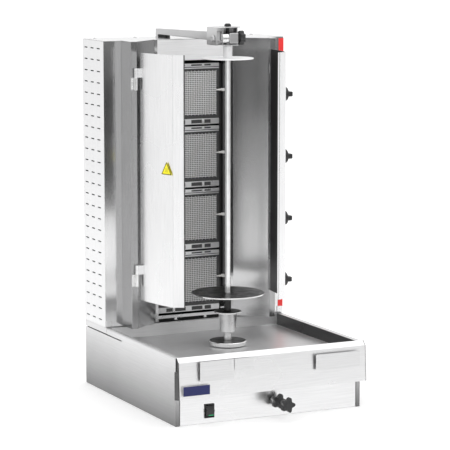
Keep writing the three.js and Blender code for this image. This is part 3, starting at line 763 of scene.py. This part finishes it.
splash = [(9.3, 147.5), (49.3, 147.5), (50.8, 149), (50.8, 157.5), (49.3, 159.5), (9.3, 159.5)]
on_spit("splash_dish", [turned(splash, segments=96, fillet=1.0)], "rim", "spit", ["splash_disc"])
on_spit("motor_shaft", [pin(9, 100.3, 181.7)], "turned", "spit", ["drive_shaft"])
cup_profile = [
    (9.3, 159.8), (10.6, 159.8), (10.6, 183.5), (21, 183.5), (25, 233), (25, 236.5), (37, 236.5),
    (37, 239.5), (8, 239.5), (8, 195.5), (3, 193.5), (3, 182), (9.3, 182),
]
cup_body = turned(cup_profile, segments=96, fillet=0.8)
cup_set_screw = shifted(pin(3, -25.5, -20, "y", 0.4, 20), 0, 0, 208)
on_spit("cup", [cup_body, cup_set_screw], "rim", "spit", ["drive_cup"])
shaft_low, shaft_high = span("spit_shaft")
spit_rod = turned(
    [(0, shaft_low.z), (7.25, shaft_low.z), (7.25, shaft_high.z - 6), (4, shaft_high.z), (0, shaft_high.z)],
    segments=64,
    fillet=0.8,
)
on_spit("spit_bar", [spit_rod], "spit", "spit", ["spit_shaft"])
# The meat plate is drawn in the near-black disc steel as a painted dark reflection; its rim ring is plain
# turned steel.
lower_profile = [(7.55, 239.8), (9.6, 239.8), (9.6, 287.5), (98, 287.5), (98, 290.5), (7.55, 290.5)]
on_spit("meat_plate", [turned(lower_profile, segments=128, fillet=1.0)], "disc", "spit", ["lower_disc"])
rim_profile = [(96.4, 287.3), (98.2, 287.3), (98.2, 289.6), (97.4, 289.6), (97.4, 287.9), (96.4, 287.9)]
on_spit("meat_plate_rim", [turned(rim_profile, segments=128, fillet=0.2)], "turned", "spit")
upper_profile = [(7.9, 918.5), (69, 918.5), (69, 921.5), (12.5, 921.5), (12.5, 953), (7.9, 953)]
grub_screw = shifted(pin(3.2, -14.2, -11, "y", 0.4, 20), 0, 0, 940)
upper_parts = [turned(upper_profile, segments=128, fillet=0.9), grub_screw]
on_spit("top_plate", upper_parts, "bright", "upper_disc", ["upper_disc"])

# ---- bearing block, clamp and top pin --------------------------------------------------------
block_low, block_high = span("bearing_block")
arm_low, arm_high = span("spit_arm")
WALL = 2.5
BLOCK_FRONT = 216
inner_z = (block_low.z + WALL, block_high.z - WALL)
clamp_low, clamp_high = span("clamp_knob")
CLAMP_Y = (clamp_low.y + clamp_high.y) / 2
CLAMP_Z = (clamp_low.z + clamp_high.z) / 2
NUT = {"left": -12, "right": 14, "half": 13.5}
wall_left, wall_right = arm_high.x + 1, arm_high.x + 1 + WALL
block_outline = rounded(
    [
        (block_low.x, block_low.z),
        (NUT["right"] + 2, block_low.z),
        (NUT["right"] + 2, block_low.z + WALL),
        (NUT["right"], block_low.z + WALL),
        (NUT["right"], block_high.z - WALL),
        (block_high.x, block_high.z - WALL), (block_high.x, block_high.z), (block_low.x, block_high.z),
    ],
    [2.2, 0.9, 0.9, 0.5, 0.8, 0.9, 0.9, 2.2],
)
inner_x = (block_low.x + WALL, NUT["right"] - WALL)
BITE = 15  # the round notch that lets the clamp's barrel through the inner wall
bite_turn = math.acos((BLOCK_FRONT - CLAMP_Y) / BITE)
bite = [
    (CLAMP_Y + BITE * math.cos(turn), CLAMP_Z + BITE * math.sin(turn))
    for turn in (bite_turn * (i / 12 - 1) for i in range(25))
]
inner_wall = [
    (BLOCK_FRONT, inner_z[0] - 0.5),
    *bite,
    (BLOCK_FRONT, inner_z[1] + 0.5),
    (block_high.y, inner_z[1] + 0.5),
    (block_high.y, inner_z[0] - 0.5),
]
nut = block(
    (NUT["left"], NUT["right"] - 0.3),
    (CLAMP_Y - NUT["half"], CLAMP_Y + NUT["half"]),
    (CLAMP_Z - NUT["half"], CLAMP_Z + NUT["half"]),
    1.6,
    3,
)
block_hole = soft_box(*inner_x, *inner_z, 1.2)
body_parts = [
    prism(block_outline, BLOCK_FRONT, block_high.y, "y", [block_hole], 0.7, 2),
    prism(inner_wall, wall_left, wall_right, "x", bevel=0.3),
    block((wall_right - 1, NUT["right"] - 1), (block_high.y - WALL, block_high.y - 0.2), inner_z, 0.3),
    nut,
    *screw(block_low.x, 236, 974, "x", 9, 2.6),
]
piece("block_body", body_parts, "block", "bearing_block", ["bearing_block"])


def along_clamp(mesh):
    return shifted(mesh, 0, CLAMP_Y, CLAMP_Z)


screw_parts = [along_clamp(pin(4.8, clamp_low.x + 1, 34, "x", 0.5))]
grip_parts = [
    along_clamp(prism(star(19.5, 7, 0.11, 112), 19, 34, "x", bevel=2.4, rings=4)),
    along_clamp(turned([(0, 32), (11.5, 32), (11.5, 35.5), (9, 37), (0, 37)], "x", 48, 0.8)),
    along_clamp(turned([(0, 14.4), (9, 14.4), (10, 20), (0, 20)], "x", 48, 0.6)),
]
barrel = [(0, clamp_low.x), (14.4, clamp_low.x), (14.4, NUT["left"] - 0.6), (0, NUT["left"] - 0.6)]
collar_parts = [along_clamp(turned(barrel, "x", 64, 1.2))]
piece("clamp_grip", grip_parts, "black", "clamp_knob", ["clamp_knob"])
piece("clamp_screw", screw_parts, "turned", "clamp_knob")
piece("clamp_collar", collar_parts, "turned", "clamp_knob")

pin_low, pin_high = span("top_pin")
cap = prism(circle(0, 0, 10, 6), 1005.3, 1010, "z", bevel=0.8, rings=2)
cap_crown = turned([(0, 1009), (7.2, 1009), (6.4, 1011.6), (4, pin_high.z), (0, pin_high.z)], segments=40)
stem = pin(4, pin_low.z, 1006)
top_parts = [about_spit(mesh) for mesh in (cap, cap_crown, stem)]
piece("pin_cap", top_parts, "black", "top_pin", ["top_pin"])

# ---- arm and pad -----------------------------------------------------------------------------
arm_rear = DEPTH + 0.3
arm_outline = rounded(
    [
        (arm_low.y, arm_high.z - 24), (arm_rear, arm_high.z - 24), (arm_rear, arm_low.z),
        (arm_high.y, arm_low.z), (arm_high.y, arm_high.z), (arm_low.y, arm_high.z),
    ],
    [1.5, 0.8, 1.5, 1.5, 9, 1.5],
    steps=6,
)
arm_mesh = prism(arm_outline, arm_low.x, arm_high.x, "x", bevel=1.6, rings=3)
piece("arm_bar", [arm_mesh], "arm", "body", ["spit_arm"])
pad_low, pad_high = span("arm_pad")
pad_parts = [
    block((pad_low.x - 0.6, pad_high.x + 0.6), (pad_low.y, pad_high.y), (pad_low.z, pad_high.z), 1.1, 3)
]
piece("arm_rubber", pad_parts, "rubber", "body", ["arm_pad"])

# ---- burner casing ---------------------------------------------------------------------------
case_low, case_high = span("casing_left_side")
CASE_HALF = -case_low.x
CASE_BOTTOM, CASE_TOP = case_low.z, case_high.z
SLOT_COLUMNS = (573, 530, 487)
SLOT_ROWS = [199 + row * 741 / 24 for row in range(25)]


def slot_outline(y, z, length=23, height=5):
    return soft_box(y - length / 2, y + length / 2, z - height / 2, z + height / 2, 2, steps=3)


def case_side(name, side, columns, stems=()):
    outline = soft_box(case_low.y, DEPTH, CASE_BOTTOM, CASE_TOP, 1.0)
    holes = [slot_outline(y, z) for y in columns for z in SLOT_ROWS]
    holes += [circle(y, z, 6, 20) for y, z in stems]
    panel = prism(outline, *sided(side, CASE_HALF - SHEET, CASE_HALF), "x", holes, bevel=0.15)
    piece(f"case_{name}_panel", [panel], "perforated", "body", [f"casing_{name}_side"])


VALVES = [[sum(c) / 2 for c in zip(*span(f"burner_knob_{i}"))] for i in (1, 2, 3, 4)]
case_side("left", -1, SLOT_COLUMNS)
case_side("right", 1, SLOT_COLUMNS[:2], [(y, z) for _, y, z in VALVES])

STEP_Y = 450  # front of each pillar's outer part
BAY_Y = 457  # front edge of the burner bay
PILLAR_LINE = [
    (-CASE_HALF, STEP_Y), (-220, STEP_Y), (-220, 390), (-200, 390), (-120, BAY_Y), (-110.5, BAY_Y),
]
pillar_low, pillar_high = span("casing_left_pillar")
for name, side in SIDES:
    outline = turn_over(side, folded(PILLAR_LINE, 2.2))
    pillar = prism(outline, pillar_low.z, pillar_high.z, "z", bevel=0.3)
    node = f"casing_{name}_pillar"
    shell = piece(f"case_{name}_pillar", [pillar], "casing", "body", [node])
    # The pillars' forward step gets the darker step steel: painted dark reflection.
    second_finish(shell, "step", lambda face: face.center.y < DATUM.y + (STEP_Y - 1) * MM)
    # The slanted bay walls get the bay-wall steel with its painted dark reflection.
    shell.data.materials.append(MATERIALS["bay_wall"])
    for face in shell.data.polygons:
        if 0.5 < -side * face.normal.x < 0.8:
            face.material_index = 2

top_low, top_high = span("casing_top")
top_outline = [(-CASE_HALF, DEPTH), *PILLAR_LINE[:5], *mirrored(PILLAR_LINE[:5]), (CASE_HALF, DEPTH)]
top_sheet = prism(rounded(top_outline, 1.2), top_low.z, top_high.z, "z", bevel=0.5, rings=2)


def casing_screw(x, y, z, axis):
    """A low domed head that stands out along the axis."""
    return shifted(turned([(0, 0), (4, 0), (3.6, 1.4), (0, 2)], axis, 24, 0.4), x, y, z)


top_screws = [casing_screw(x, 586, top_high.z, "z") for x in (-240, -120, 120, 240)]
piece("case_top", [top_sheet, *top_screws], "casing", "body", ["casing_top"])

back_low, back_high = span("casing_back")
PIPE_X, PIPE_Z = 244, 222
back_outline = soft_box(back_low.x, back_high.x, back_low.z, back_high.z, 1.5)
back_sheet = prism(back_outline, back_low.y, back_high.y, "y", [circle(PIPE_X, PIPE_Z, 9)], bevel=0.4)
back_places = [(x, z) for z in (200, 390, 580, 770, 940) for x in (-255, 255)]
back_screws = [casing_screw(x, back_high.y, z, "y") for x, z in back_places]
piece("case_back", [back_sheet, *back_screws], "casing", "body", ["casing_back"])

skirt_low, skirt_high = span("casing_floor")
skirt_parts = [
    block((skirt_low.x, skirt_high.x), (456, DEPTH), (skirt_high.z - SHEET, skirt_high.z), 0.4),
    block((skirt_low.x, skirt_low.x + SHEET), (skirt_low.y, DEPTH), (skirt_low.z, skirt_high.z), 0.4),
    block((skirt_high.x - SHEET, skirt_high.x), (skirt_low.y, DEPTH), (skirt_low.z, skirt_high.z), 0.4),
]
piece("case_skirt", skirt_parts, "side", "body", ["casing_floor"])

head_low, head_high = span("burner_header")
head_section = folded([(BAY_Y, CASE_TOP - 0.3), (BAY_Y, head_low.z), (471, head_low.z)], 2.2)
header_parts = [prism(head_section, head_low.x, head_high.x, "x", bevel=0.3)]
piece("bay_header", header_parts, "header", "body", ["burner_header"])

# A small folded clip closes each lower front corner of the casing.
for name, side in SIDES:
    clip_x = sided(side, 254, 269.5)
    clip = [block(clip_x, (447.6, 449.8), (183, 200), 0.8, 3)]
    piece(f"corner_{name}_clip", clip, "front", "body")

# Red film left on the edge of the right pillar.
film = [block((257, 272.3), (448.8, 449.8), (198, 957.5), 0.35)]
piece("red_edge_film", film, "red", "body")

# Near-black boards inside the casing, behind the burners and behind both slotted sides: sheets that put
# painted shade in the cavity.
boards = [
    block((-118, 118), (534, 537), (184, 930), 0.4),
    block((-262, -260), (470, 592), (190, 955), 0.4),
    block((222, 224), (470, 592), (190, 955), 0.4),
    block((-112, 112), (462, 464), (183.5, 191), 0.4),
]
piece("shade_boards", boards, "board", "body")

# ---- burners ---------------------------------------------------------------------------------
def tab(x, y, z, bevel=0.6):
    return block(x, y, z, bevel, 3)


def woven(centre, half_width, half_height, plane, pitch, wire):
    """Plain-weave wire cloth: each wire waves over and under the ones that it crosses."""
    columns = round(2 * half_width / pitch)
    rows = round(2 * half_height / pitch)
    across = [centre[0] - half_width + (i + 0.5) * 2 * half_width / columns for i in range(columns)]
    up = [centre[1] - half_height + (j + 0.5) * 2 * half_height / rows for j in range(rows)]
    wires = []
    for i, x in enumerate(across):
        places = [(x, plane + wire * (1 if (i + j) % 2 else -1), z) for j, z in enumerate(up)]
        ends = [(x, plane, centre[1] - half_height - 2), (x, plane, centre[1] + half_height + 2)]
        wires.append(pipe([ends[0], *places, ends[1]], wire))
    for j, z in enumerate(up):
        places = [(x, plane - wire * (1 if (i + j) % 2 else -1), z) for i, x in enumerate(across)]
        ends = [(centre[0] - half_width - 2, plane, z), (centre[0] + half_width + 2, plane, z)]
        wires.append(pipe([ends[0], *places, ends[1]], wire))
    return wires


def burner(index, low, high):
    """One burner: a dark frame with bright pierced rails, clips and a wire screen over its plaque."""
    frame_low, frame_high = span(f"burner_housing_{index}")
    x0, x1 = low.x - 0.5, high.x + 0.5
    z0, z1 = low.z - 0.5, high.z + 0.5
    middle, level = (x0 + x1) / 2, (z0 + z1) / 2
    face = frame_low.y
    outer = soft_box(frame_low.x, frame_high.x, frame_low.z, frame_high.z, 1.5)
    window = soft_box(x0, x1, z0, z1, 5, steps=6)
    inner = rectangle(frame_low.x + SHEET, frame_high.x - SHEET, frame_low.z + SHEET, frame_high.z - SHEET)
    frame_parts = [
        prism(outer, face + 1.6, face + 2.8, "y", [window], bevel=0.3),
        prism(outer, face + 2.6, frame_high.y, "y", [inner], bevel=0.3),
    ]
    # The frame is drawn in near-black steel as painted shade.
    piece(f"burner_frame_{index}", frame_parts, "shaded_dark", "body", [f"burner_housing_{index}"])

    rail_width, rail_depth = (x0 - 3, x1 + 3), (face - 0.6, face + 1.8)

    def rail(bottom, top):
        pockets = [(-69, -49), (-42, -9), (9, 42), (49, 69)]
        holes = [soft_box(middle + a, middle + b, bottom + 2.4, top - 2.4, 1.2) for a, b in pockets]
        return prism(soft_box(*rail_width, bottom, top, 1), *rail_depth, "y", holes, 0.6, 2)

    lower, upper = (z0 - 20.5, z0 - 5), (z1 + 6.5, z1 + 16)
    rails = [rail(*lower), rail(*upper), tab(rail_width, rail_depth, (z1 + 1.2, z1 + 4.4), 0.9)]
    for x in (middle - 45, middle + 45):
        for bottom, top in (lower, upper):
            z = (bottom + top) / 2
            rails.append(tab((x - 3.4, x + 3.4), (face - 1.6, face + 1.8), (bottom + 0.8, top - 0.8), 1.0))
            rails += screw(x, face - 1.5, z, "y", 2.6)
    piece(f"burner_rails_{index}", rails, "clip", "body")

    # A near-black ring lines the edge of each burner window.
    seal_hole = soft_box(x0 + 1.4, x1 - 1.4, z0 + 3.4, z1 - 3.4, 4, steps=6)
    seal = prism(window, face + 2.0, face + 5.5, "y", [seal_hole], bevel=0.5, rings=2)
    piece(f"burner_seal_{index}", [seal], "dark_seal", "body")
    half_width, half_height = (x1 - x0) / 2 - 2.4, (z1 - z0) / 2 - 4.4
    cloth = woven((middle, level), half_width, half_height, face + 3.2, 5.4, 1.0)
    piece(f"burner_screen_{index}", cloth, "screen", "body")
    plaque = [block((low.x, high.x), (low.y, high.y), (low.z, high.z), 1.2)]
    piece(f"burner_tile_{index}", plaque, "ceramic", "body", [f"burner_plaque_{index}"])


for index, (low, high) in enumerate(SCREENS, 1):
    burner(index, low, high)

foot_parts = [tab((-109, 109), (459, 461), (190, 198.5), 0.8)]
for x in (-56, 34):
    foot_parts.append(tab((x - 4, x + 4), (459.4, 461.4), (183.5, 192), 0.6))
    foot_parts += screw(x, 459.4, 187.5, "y", 2.8)
piece("bay_foot_rail", foot_parts, "clip", "body")

# ---- flame sensors ---------------------------------------------------------------------------
rail_low, rail_high = span("sensor_rail")
channel = [(89.5, 475), (89.5, 488), (96, 488), (96, 475), (102, 475)]
sensor_parts = [prism(folded(channel, 1.6), rail_low.z, rail_high.z, "z", bevel=0.3)]
# The channel is drawn in near-black steel as painted shade.
piece("sensor_channel", sensor_parts, "shaded_dark", "body", ["sensor_rail"])
tips = []
for low, high in SCREENS:
    z = (low.z + high.z) / 2 + 7.5
    tips.append(shifted(turned([(0, 81), (2.6, 81), (2.6, 97), (0, 97)], "x", 24, 0.6), 0, 468.5, z))
    tips.append(shifted(pin(1.3, 74, 82, "x", 0.4, 16), 0, 468.5, z))
    tips.append(tab((91, 98), (466, 476), (z - 4, z + 4), 0.8))
piece("sensor_tips", tips, "ceramic_white", "body")

# ---- gas pipe, valve stems and burner knobs --------------------------------------------------
valve_y = VALVES[0][1]
gas_parts = [shifted(pin(8, PIPE_Z - 8, VALVES[0][2] + 20), PIPE_X, valve_y, 0)]
gas_parts.append(shifted(pin(8, valve_y, 611, "y"), PIPE_X, 0, PIPE_Z))
gas_parts.append(shifted(prism(circle(0, 0, 12.5, 6), 598, 606, "y", bevel=0.8, rings=2), PIPE_X, 0, PIPE_Z))
for _, y, z in VALVES:
    gas_parts.append(shifted(pin(12, PIPE_X, 262, "x", 1.0), 0, y, z))
    gas_parts.append(shifted(prism(circle(0, 0, 10, 6), 258, 266, "x", bevel=0.6), 0, y, z))
piece("gas_pipework", gas_parts, "brass", "body", ["gas_manifold"])

for index, (_, y, z) in enumerate(VALVES, 1):
    low, high = span(f"burner_knob_{index}")
    stem_low, stem_high = span(f"valve_stem_{index}")
    stem = shifted(pin(4, stem_low.x, stem_high.x, "x"), 0, y, z)
    piece(f"stem_{index}", [stem], "turned", f"valve_{index}", [f"valve_stem_{index}"])
    back = low.x
    skirt = [(0, back), (19.5, back), (19.5, back + 13), (17.5, back + 14.5), (0, back + 14.5)]
    knob = [
        shifted(turned(skirt, "x", 72, 1.0), 0, y, z),
        shifted(block((back + 13, high.x), (-17.3, 17.3), (-7, 7), 2.6, 4), 0, y, z),
    ]
    body = f"knob_{index}"
    piece(f"burner_grip_{index}", knob, "black", body, [f"burner_knob_{index}"])
    pointer = [shifted(block((high.x - 0.3, high.x + 0.2), (-16, -6), (-0.8, 0.8), 0.1, 1), 0, y, z)]
    piece(f"burner_mark_{index}", pointer, "white", body)

# ---- heat shields and hinges -----------------------------------------------------------------
shield_low, shield_high = span("left_heat_shield")
SHIELD_LINE = [(-194, 386), (-190, 372), (-181.5, 285), (-167, 238.5), (-137.3, 225.3), (-134, 231)]
HINGES = [span("hinge_left_upper"), span("hinge_left_lower")]
HINGE_X, HINGE_Y, KNUCKLE = 206, 384, 4.2
KNUCKLE_LENGTH, KNUCKLE_GAP = 24.7, 0.3
OPENED = {"left": 0, "right": 2.2}  # degrees that each shield stands open at rest


def shield(name, side):
    """A folded shield with its hinge knuckles; the faces turned to the spit get near-black steel, a painted
    dark reflection.
    """
    outline = turn_over(side, folded(SHIELD_LINE, 4.0, steps=5))
    parts = [prism(outline, shield_low.z, shield_high.z, "z", bevel=0.35)]
    for _, high in HINGES:
        ends = (high.z + KNUCKLE_GAP, high.z + KNUCKLE_GAP + KNUCKLE_LENGTH)
        parts.append(shifted(pin(KNUCKLE, *ends, "z", 0.5), side * HINGE_X, HINGE_Y, 0))
        parts.append(block(sided(side, 191.8, HINGE_X + 1), (HINGE_Y - 4.2, HINGE_Y - 3), ends, 0.4))
    pivot = Matrix.Translation((side * HINGE_X, HINGE_Y, 0))
    turn = pivot @ Matrix.Rotation(math.radians(OPENED[name]), 4, "Z") @ pivot.inverted()
    parts = [moved(mesh, turn) for mesh in parts]
    body = f"{name}_shield"
    sheet = piece(f"{name}_shield_sheet", parts, "shield", body, [f"{name}_heat_shield"])
    axis = Vector((0, SPIT_Y, 0)) * MM + DATUM

    def faces_spit(face):
        beside_hinge = abs(face.center.x - DATUM.x) > 191 * MM
        return not beside_hinge and face.normal.xy.dot((axis - face.center).xy.normalized()) > 0.25

    second_finish(sheet, "shield_painted_dark", faces_spit)


def hinge(name, side, level, low, high):
    ends = (low.z, high.z)
    barrel = shifted(pin(KNUCKLE, *ends, "z", 0.6), side * HINGE_X, HINGE_Y, 0)
    leaf = block(sided(side, HINGE_X, 219), (388.5, 389.7), ends, 0.5)
    web = block(sided(side, HINGE_X, HINGE_X + 4), (HINGE_Y + 1, 389.7), ends, 0.5)
    parts = [barrel, leaf, web]
    for z in (low.z + 7, high.z - 7):
        parts += screw(side * 214.5, 388.5, z, "y", 3.2)
    piece(f"{name}_{level}_hinge", parts, "turned", "body", [f"hinge_{name}_{level}"])


for name, side in SIDES:
    shield(name, side)
    for level, (low, high) in zip(("upper", "lower"), HINGES):
        hinge(name, side, level, low, high)

# A plain triangular warning label on the left shield's widest facet.
facet_start, facet_end = Vector(SHIELD_LINE[2]), Vector(SHIELD_LINE[3])
facet_along = (facet_end - facet_start).normalized()
facet_middle = facet_start.lerp(facet_end, 0.52)
facet = Matrix(
    (
        (facet_along.x, 0, facet_along.y, facet_middle.x),
        (facet_along.y, 0, -facet_along.x, facet_middle.y), (0, 1, 0, 628), (0, 0, 0, 1),
    )
)


def on_facet(outline, start, end):
    return moved(prism(outline, start, end, "z", bevel=0.05), facet)


def triangle(width, height, corner):
    third = height / 3
    return rounded([(-width / 2, -third), (width / 2, -third), (0, 2 * third)], corner)


def band(width, height, corner, inset):
    """A triangular ring between an outer triangle and the same one drawn in by the inset."""
    shrink = 1 - inset / (height / 3)
    hole = triangle(width * shrink, height * shrink, corner * shrink)
    return moved(prism(triangle(width, height, corner), 0.1, 0.32, "z", [hole], bevel=0.03), facet)


warning_face = [on_facet(triangle(46, 40, 2.5), -0.1, 0.2)]
warning_marks = [band(42, 36.6, 1.8, 2.4)]
for x in (-4.5, 0, 4.5):
    wave = [(x + 0.8 * math.sin(math.radians(30 * i)), -5 + i * 0.9) for i in range(13)]
    warning_marks.append(on_facet(strip(wave, 0.35), 0.1, 0.32))
piece("warning_face", warning_face, "yellow", "left_shield")
piece("warning_marks", warning_marks, "black", "left_shield")

# ---- parts that stay inside the base ---------------------------------------------------------
def dress(node, material):
    """A carried-over CAD node gets a finished material."""
    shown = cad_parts[node]
    shown.data.materials.clear()
    shown.data.materials.append(MATERIALS[material])


for node, material in (
    ("rail_left", "inner"), ("rail_right", "inner"), ("motor_carriage", "inner"),
    ("gear_motor", "motor"),
):
    dress(node, material)


# ---- floor, world, lights and camera ---------------------------------------------------------
def studio_floor(x, y, reflected):
    """A white floor sheet over two spans in metres: seen directly, or only in polished steel."""
    bm = bmesh.new()
    bm.faces.new([bm.verts.new((a, b, 0)) for a, b in rectangle(*x, *y)])
    mesh = from_bmesh(bm)
    floor = bpy.data.objects.new("floor", mesh)
    shader = Shader("floor", (0.9, 0.9, 0.9), 0.9, Emission_Color=(1, 1, 1, 1), Emission_Strength=0.3)
    shader.tint(shader.noise(2.0), 0.99, 1.01)
    mesh.materials.append(shader.material)
    bpy.context.scene.collection.objects.link(floor)
    floor.visible_glossy = reflected
    floor.visible_camera = not reflected
    floor.visible_diffuse = not reflected


class WorldNodes:
    """White surroundings with a few soft dark areas, given by compass direction and height."""

    def __init__(self):
        self.world = bpy.data.worlds.new("studio")
        self.world.use_nodes = True
        self.tree = self.world.node_tree
        where = self.tree.nodes.new("ShaderNodeTexCoord")
        split = self.tree.nodes.new("ShaderNodeSeparateXYZ")
        self.tree.links.new(where.outputs["Generated"], split.inputs[0])
        toward_front = self.math("MULTIPLY", split.outputs["Y"], -1.0)
        self.azimuth = self.math("ARCTAN2", split.outputs["X"], toward_front)
        self.height = self.math("ARCSINE", split.outputs["Z"])

    def math(self, operation, first, second=None):
        node = self.tree.nodes.new("ShaderNodeMath")
        node.operation = operation
        for socket, value in zip(node.inputs, (first, second)):
            if isinstance(value, (int, float)):
                socket.default_value = value
            elif value is not None:
                self.tree.links.new(value, socket)
        return node.outputs[0]

    def step(self, source, start, end):
        node = self.tree.nodes.new("ShaderNodeMapRange")
        node.interpolation_type = "SMOOTHSTEP"
        node.inputs["From Min"].default_value = math.radians(start)
        node.inputs["From Max"].default_value = math.radians(end)
        self.tree.links.new(source, node.inputs["Value"])
        return node.outputs["Result"]

    def area(self, azimuth, height, soft=8):
        """1 inside a window of directions in degrees, 0 outside: azimuth 0 is the front, +90 the right."""
        rise = self.step(self.azimuth, azimuth[0] - soft, azimuth[0] + soft)
        fall = self.step(self.azimuth, azimuth[1] + soft, azimuth[1] - soft)
        up = self.step(self.height, height[0] - soft, height[0] + soft)
        down = self.step(self.height, height[1] + soft, height[1] - soft)
        return self.math("MULTIPLY", self.math("MULTIPLY", rise, fall), self.math("MULTIPLY", up, down))

    def finish(self, layers, white):
        """Each layer is (area, brightness): it is mixed over the ones before it."""
        level = self.math("MULTIPLY", white, 1.0)
        for area, brightness in layers:
            mix = self.tree.nodes.new("ShaderNodeMix")
            self.tree.links.new(area, mix.inputs["Factor"])
            self.tree.links.new(level, mix.inputs["A"])
            mix.inputs["B"].default_value = brightness
            level = mix.outputs["Result"]
        background = self.tree.nodes["Background"]
        self.tree.links.new(level, background.inputs["Color"])
        bpy.context.scene.world = self.world


def area_light(name, place, target, size, power):
    light = bpy.data.lights.new(name, "AREA")
    light.shape = "RECTANGLE"
    light.size, light.size_y = size
    light.energy = power
    lamp = bpy.data.objects.new(name, light)
    lamp.location = place
    lamp.rotation_euler = (Vector(target) - Vector(place)).to_track_quat("-Z", "Y").to_euler()
    bpy.context.scene.collection.objects.link(lamp)


studio_floor((-60.0, 60.0), (-60.0, 60.0), False)
studio_floor((-2.0, 25.0), (-1.5, 31.0), True)
studio_floor((-4.0, 4.0), (-3.3, -1.65), True)
studio = WorldNodes()
studio.finish(
    [
        (studio.area((-80, -46), (-40, -1), 4), 0.04),
        (studio.area((6, 75), (-40, -1), 4), 0.04),
    ],
    1.0,
)
area_light("top_light", (0.6, -0.8, 3.2), (0, 0, 0.4), (3.0, 3.0), 20)

lens = bpy.data.cameras.new("camera")
lens.sensor_width = 36
lens.lens = 171.5
camera = bpy.data.objects.new("camera", lens)
camera.location = (-2.5259, -5.1349, 1.2805)
camera.rotation_euler = (math.radians(81.931), 0, math.radians(-26.094))
bpy.context.scene.collection.objects.link(camera)
bpy.context.scene.camera = camera
bpy.context.scene.view_settings.view_transform = "Standard"
